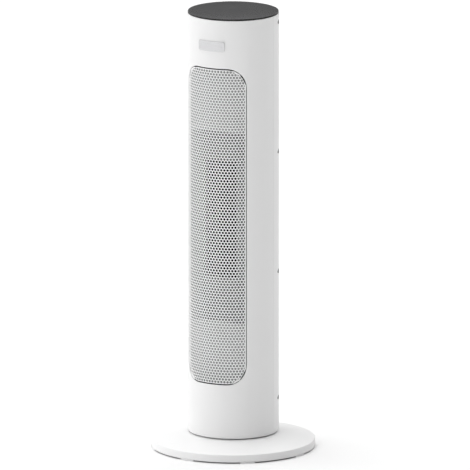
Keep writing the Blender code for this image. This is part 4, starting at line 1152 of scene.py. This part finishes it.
class BaseShell(bpy.types.Operator):
    """Low domed base with its bearing groove, gear chamber and screw bosses"""

    bl_idname = "tower_heater.base_shell"
    bl_label = "Base shell"

    def execute(self, context):
        outline, dome = base_outline()
        shell = turned("base_shell", outline, steps=256)
        plate_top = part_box("base_bottom_plate")[1].z + FIT_GAP
        boxes = [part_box(f"base_screw_{k}") for k in range(1, 5)]
        middles = [((low.x + high.x) / 2, (low.y + high.y) / 2) for low, high in boxes]
        boss_radius, hole_radius = 0.004, 0.0017
        sunk, blind_end = 0.0014, 0.0028
        top = dome(math.hypot(*middles[0])) - sunk
        bosses = [((x, y, plate_top), (x, y, top)) for x, y in middles]
        boolean(shell, rods("bosses", bosses, boss_radius), "UNION")
        holes = [((x, y, plate_top - FIT_GAP), (x, y, top - blind_end)) for x, y in middles]
        boolean(shell, rods("boss_holes", holes, hole_radius), "DIFFERENCE")
        low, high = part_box("base_cover")
        past = 0.001
        outer = high.x + past
        inner = outer - 0.006
        slack = FIT_GAP / outer
        bm = bmesh.new()
        notch = [(inner, -past), (outer, -past), (outer, low.z), (inner, low.z)]
        for middle in foot_angles():
            start = middle - FOOT_HALF_ANGLE - slack
            add_turned(bm, notch, steps=14, start=start, sweep=2 * (FOOT_HALF_ANGLE + slack))
        boolean(shell, new_object("foot_notches", bm), "DIFFERENCE")
        install(shell, "base_cover")
        return {"FINISHED"}


class FootPads(bpy.types.Operator):
    """Eight foot pads under the rim of the base"""

    bl_idname = "tower_heater.foot_pads"
    bl_label = "Foot pads"

    def execute(self, context):
        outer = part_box("base_cover")[1].x - FIT_GAP
        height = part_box("base_foot_1")[1].z
        inner = outer - 0.016
        rounding = 0.0004
        outline = [(inner, 0), (outer, 0), (outer, height), (inner, height)]
        sweep = 2 * FOOT_HALF_ANGLE
        for k, middle in enumerate(foot_angles(), 1):
            pad = turned(f"foot_pad_{k}", outline, steps=14, start=middle - sweep / 2, sweep=sweep)
            round_edges(pad, rounding)
            install(pad, f"base_foot_{k}")
        return {"FINISHED"}


# Screws, switch and cord hole


def screw_mesh(name, shank, head, head_height, length):
    """A pan head screw that points down, with a cross recess and a thread cut as rings."""
    crown = [(0, head_height)]
    for k in range(1, 7):
        angle = math.pi / 2 * k / 6
        crown.append((head * math.sin(angle), head_height * (0.35 + 0.65 * math.cos(angle))))
    outline = crown + [(head, 0), (shank, 0)]
    pitch = 0.0009
    turns = int((length - shank) / pitch)
    for k in range(turns):
        z = -k * pitch
        outline += [(shank, z - 0.2 * pitch), (0.78 * shank, z - 0.7 * pitch), (shank, z - pitch)]
    outline += [(0.4 * shank, -length), (0, -length)]
    screw = turned(name, outline[::-1], steps=28)
    arm, width = 0.62 * head, 0.17 * head
    for across, along in ((arm, width), (width, arm)):
        low = (-across, -along, 0.35 * head_height)
        boolean(screw, block("recess", low, (across, along, 2 * head_height)), "DIFFERENCE")
    return settle(screw)


def add_screws(name, node, count, place, **sizes):
    """The screws of one size, each moved by place(low, high) to the box of its CAD screw."""
    for k in range(1, count + 1):
        screw = screw_mesh(f"{name}_{k}", **sizes)
        screw.data.transform(place(*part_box(f"{node}_{k}")))
        install(screw, f"{node}_{k}")


def into_casing(low, high):
    spot = ((low.x + high.x) / 2, high.y - CASING_SCREW_HEAD, (low.z + high.z) / 2)
    return Matrix.Translation(spot) @ Matrix.Rotation(-math.pi / 2, 4, "X")


def into_base(low, high):
    spot = ((low.x + high.x) / 2, (low.y + high.y) / 2, low.z + BASE_SCREW_HEAD)
    return Matrix.Translation(spot) @ Matrix.Rotation(math.pi, 4, "X")


class Screws(bpy.types.Operator):
    """Casing and base screws, with cross recesses and threads"""

    bl_idname = "tower_heater.screws"
    bl_label = "Screws"

    def execute(self, context):
        low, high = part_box("case_screw_1")
        length = high.y - low.y - CASING_SCREW_HEAD
        add_screws(
            "casing_screw", "case_screw", 8, into_casing,
            shank=0.00145, head=0.0032, head_height=CASING_SCREW_HEAD, length=length,
        )
        low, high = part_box("base_screw_1")
        length = high.z - low.z - BASE_SCREW_HEAD
        add_screws(
            "underside_screw", "base_screw", 4, into_base,
            shank=0.0014, head=0.003, head_height=BASE_SCREW_HEAD, length=length,
        )
        return {"FINISHED"}


def add_switch_bezel(pivot):
    """The switch's bezel with the can behind it, hollowed out for the rocker."""
    low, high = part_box("switch_frame")
    rounding = 0.0006
    bezel = block("switch_bezel", (low.x, high.y - SWITCH_FLANGE, low.z), high)
    round_edges(bezel, rounding)
    settle(bezel)
    x, z = 0.008, 0.0115
    inside, behind = low.y, high.y - SWITCH_FLANGE / 2
    can = block("switch_can", (-x, inside, pivot.z - z), (x, behind, pivot.z + z))
    boolean(bezel, can, "UNION")
    x, z = ROCKER_HALF_WIDTH + FIT_GAP, ROCKER_REACH + 3 * FIT_GAP
    inside, outside = low.y + 2 * SWITCH_FLANGE, high.y + SWITCH_FLANGE
    hollow = block("switch_hollow", (-x, inside, pivot.z - z), (x, outside, pivot.z + z))
    boolean(bezel, hollow, "DIFFERENCE")
    install(bezel, "switch_frame")


def rocker_face(share):
    """How far the dished face lies from the pivot, from the rocker's middle (0) to its ends (1)."""
    dip, rise, power = 0.0042, 0.0052, 1.6
    return dip + (rise - dip) * abs(share) ** power


def add_rocker(tilt):
    depth, rounding = 0.0037, 0.0003
    steps = 14
    outline = [(rocker_face(k / steps), ROCKER_REACH * k / steps) for k in range(-steps, steps + 1)]
    outline += [(-depth, 0.8 * ROCKER_REACH), (-depth, -0.8 * ROCKER_REACH)]
    bm = bmesh.new()
    section = [(ROCKER_HALF_WIDTH, y, z) for y, z in outline]
    add_prism(bm, section, (-2 * ROCKER_HALF_WIDTH, 0, 0))
    rocker = new_object("mains_rocker", bm)
    round_edges(rocker, rounding, 2, math.radians(50))
    settle(rocker)
    rocker.data.transform(tilt)
    install(rocker, "rocker_switch")


def add_rocker_marks(tilt):
    """A raised ring for off and a raised bar for on."""
    middle, inner, outer = 0.0060, 0.0016, 0.0020
    half_stroke, root, lift = 0.0002, -0.0002, 0.00025
    face = rocker_face(middle / ROCKER_REACH)
    bm = bmesh.new()
    add_turned(bm, [(inner, root), (outer, root), (outer, lift), (inner, lift)], steps=32)
    turn = Matrix.Translation((0, face, middle)) @ Matrix.Rotation(-math.pi / 2, 4, "X")
    bmesh.ops.transform(bm, matrix=turn, verts=bm.verts)
    add_block(bm, (-half_stroke, face - lift, -middle - outer), (half_stroke, face + lift, outer - middle))
    marks = new_object("rocker_marks", bm)
    marks.data.transform(tilt)
    add_extra(marks, "rocker", "white_plastic")


class MainsSwitch(bpy.types.Operator):
    """Rocker switch in its bezel, with raised on and off marks"""

    bl_idname = "tower_heater.mains_switch"
    bl_label = "Mains switch"

    def execute(self, context):
        pivot = Vector(next(j["pos_m"] for j in frame["joints"] if j["name"] == "rocker_press"))
        tilt = Matrix.Translation(pivot) @ Matrix.Rotation(-math.radians(8), 4, "X")
        add_switch_bezel(pivot)
        add_rocker(tilt)
        add_rocker_marks(tilt)
        return {"FINISHED"}


class CordGrommet(bpy.types.Operator):
    """Grommet of the cord hole, low on the rear"""

    bl_idname = "tower_heater.cord_grommet"
    bl_label = "Cord grommet"

    def execute(self, context):
        low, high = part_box("cord_gland")
        bore, flange, thick, chamfer = 0.0036, high.x, 0.0022, 0.0006
        outside = high.y - thick
        inside = low.y + thick
        outline = [(bore, low.y), (flange, low.y), (flange, inside)]
        outline += [(CORD_NECK, inside), (CORD_NECK, outside)]
        outline += [(flange + across, outside + up) for across, up in quarter(6, thick, thick)]
        outline += [(bore + chamfer, high.y), (bore, high.y - chamfer)]
        grommet = turned("cord_grommet", outline, steps=64)
        spot = Matrix.Translation((0, 0, (low.z + high.z) / 2))
        grommet.data.transform(spot @ Matrix.Rotation(-math.pi / 2, 4, "X"))
        install(grommet, "cord_gland")
        return {"FINISHED"}


# Heating element


def folded_fin(bm, left, right, low, high, front, back):
    """One folded fin, a closed zigzag sheet between two bars."""
    heater = looks().heater
    folds = round((high - low) / heater.fin_pitch)
    half = heater.fin_sheet / 2
    pitch = (high - low - heater.fin_sheet) / folds
    centre = [(left if k % 2 == 0 else right, low + half + pitch * k) for k in range(folds + 1)]
    outline = [(x, z - half) for x, z in centre] + [(x, z + half) for x, z in reversed(centre)]
    add_prism(bm, [(x, front, z) for x, z in outline], (0, back - front, 0))


class HeatingElement(bpy.types.Operator):
    """Two stacks of ceramic heating bars with folded fins between them"""

    bl_idname = "tower_heater.heating_element"
    bl_label = "Heating element"

    def execute(self, context):
        bar = looks().heater.stone_width
        columns = 2
        set_back = 0.0008
        for side in ("left", "right"):
            low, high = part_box(f"heater_core_{side}")
            span = (high.x - low.x - (columns + 1) * bar) / columns
            starts = [low.x + k * (bar + span) for k in range(columns + 1)]
            bm = bmesh.new()
            for x in starts:
                add_block(bm, (x, low.y, low.z), (x + bar, high.y, high.z))
            for x in starts[:-1]:
                left = x + bar
                folded_fin(bm, left, left + span, low.z, high.z, low.y + set_back, high.y - set_back)
            install(new_object(f"heating_stack_{side}", bm), f"heater_core_{side}")

        low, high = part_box("heater_frame")
        ahead, thick, side_gap = 0.0002, 0.0007, 0.0015
        throat = 0.019
        front = low.y - ahead
        reach = math.sqrt(INNER_RADIUS ** 2 - front ** 2) - side_gap
        split = high.z - throat
        # The plate's dark grey also paints the shade of the duct walls beside the heating stacks.
        plate = block("element_frame", (-reach, front, low.z), (reach, front + thick, split - FIT_GAP))
        left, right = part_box("heater_core_left")[0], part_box("heater_core_right")[1]
        window = block(
            "element_window", (left.x, front - thick, left.z), (right.x, low.y + thick, right.z)
        )
        boolean(plate, window, "DIFFERENCE")
        add_extra(plate, "tower", "grey_plastic")
        # The strip's mid grey paints the shade of the duct above the element.
        strip = block("duct_throat", (-reach, front, split), (reach, front + thick, high.z))
        add_extra(round_edges(strip, 0.0002), "tower", "duct_plastic")
        return {"FINISHED"}


# Pieces whose CAD shape stays


class CarriedOver(bpy.types.Operator):
    """Finishes for the inner pieces that keep their CAD shape"""

    bl_idname = "tower_heater.carried_over"
    bl_label = "Inner pieces"

    def execute(self, context):
        for name, obj in frame["nodes"].items():
            if not obj.hide_render:
                obj.data.materials.clear()
                obj.data.materials.append(finish(slot_of_node(name)))
        return {"FINISHED"}


# Stage


def studio_floor():
    """A wide pale floor with the faintest unevenness of a painted studio floor."""
    material, tree, shader = new_material("studio_floor", Roughness=0.9, Specular_IOR_Level=0.1)
    tone = looks().stage.floor_tone
    grain = place_group(tree, surface_grain, Scale=60.0, Depth=0.00001)
    base = blend_colours(tree, grain.outputs["Drift"], shade((tone,) * 3, 0.995), shade((tone,) * 3, 1.005))
    tree.links.new(base, shader.inputs["Base Color"])
    return material


def soft_light(name, azimuth, elevation, spread, strength):
    """A far, wide light that shines from an angle round the heater, evenly over the whole floor."""
    light = bpy.data.lights.new(name, "SUN")
    light.angle = spread
    light.energy = strength
    obj = bpy.data.objects.new(name, light)
    bpy.context.scene.collection.objects.link(obj)
    across = math.cos(elevation)
    towards = Vector((math.sin(azimuth) * across, -math.cos(azimuth) * across, math.sin(elevation)))
    obj.location = towards * 3
    obj.rotation_euler = towards.to_track_quat("Z", "Y").to_euler()
    return obj


class Stage(bpy.types.Operator):
    """Pale floor, soft studio light and the long-lens camera"""

    bl_idname = "tower_heater.stage"
    bl_label = "Stage"

    def execute(self, context):
        stage = looks().stage
        bm = bmesh.new()
        bmesh.ops.create_circle(bm, cap_ends=True, segments=96, radius=60)
        floor = new_object("studio_floor", bm)
        floor.data.materials.append(studio_floor())

        world = bpy.data.worlds.new("studio")
        world.use_nodes = True
        tree = world.node_tree
        background = tree.nodes["Background"]
        seen = add(tree, "ShaderNodeLightPath").outputs["Is Camera Ray"]
        level = add(
            tree, "ShaderNodeMapRange", (("Value", seen), ("To Min", stage.world_level), ("To Max", 1.0))
        )
        background.inputs["Color"].default_value = (1, 1, 1, 1)
        tree.links.new(level.outputs["Result"], background.inputs["Strength"])
        context.scene.world = world
        context.scene.view_settings.view_transform = "Standard"

        lights = (
            ("key", -80, 15, 120, stage.key),
            ("top", 170, 72, 80, stage.top),
            ("rim", 120, 10, 60, stage.rim),
        )
        for name, *degrees, strength in lights:
            turn, elevation, spread = (math.radians(angle) for angle in degrees)
            soft_light(name, stage.azimuth + turn, elevation, spread, strength)

        camera = bpy.data.objects.new("camera", bpy.data.cameras.new("camera"))
        context.scene.collection.objects.link(camera)
        camera.data.lens = stage.lens
        distance = stage.view_height * stage.lens / camera.data.sensor_width
        camera.data.clip_end = 10 * distance
        a, e = stage.azimuth, stage.elevation
        back = Vector((math.sin(a) * math.cos(e), -math.cos(a) * math.cos(e), math.sin(e)))
        aim = Vector((math.cos(a), math.sin(a), 0)) * stage.aim_side + Vector((0, 0, stage.aim_height))
        camera.location = aim + back * distance
        camera.rotation_euler = (-back).to_track_quat("-Z", "Y").to_euler()
        context.scene.camera = camera
        return {"FINISHED"}


# Panel and registration

OPERATORS = (
    FrontShell, RearShell, OutletGrille, IntakePanel, TopPanel, Nameplate, BaseShell, FootPads, Screws,
    MainsSwitch, CordGrommet, HeatingElement, CarriedOver, Stage,
)
SETTINGS = (CasingSettings, GrilleSettings, HeaterSettings, FinishSettings, StageSettings, HeaterLooks)


class TowerHeaterPanel(bpy.types.Panel):
    """Lists the builders of the heater's pieces, in the order in which they run"""

    bl_idname = "VIEW3D_PT_tower_heater"
    bl_label = "Tower heater"
    bl_space_type = "VIEW_3D"
    bl_region_type = "UI"
    bl_category = "Tower heater"

    def draw(self, context):
        for operator in OPERATORS:
            self.layout.operator(operator.bl_idname)


def register():
    for cls in (*SETTINGS, *OPERATORS, TowerHeaterPanel):
        bpy.utils.register_class(cls)
    bpy.types.Scene.tower_heater_looks = PointerProperty(type=HeaterLooks)


def unregister():
    del bpy.types.Scene.tower_heater_looks
    for cls in reversed((*SETTINGS, *OPERATORS, TowerHeaterPanel)):
        bpy.utils.unregister_class(cls)


def main():
    register()
    for operator in OPERATORS:
        group, name = operator.bl_idname.split(".")
        getattr(getattr(bpy.ops, group), name)()


if __name__ == "__main__":
    main()
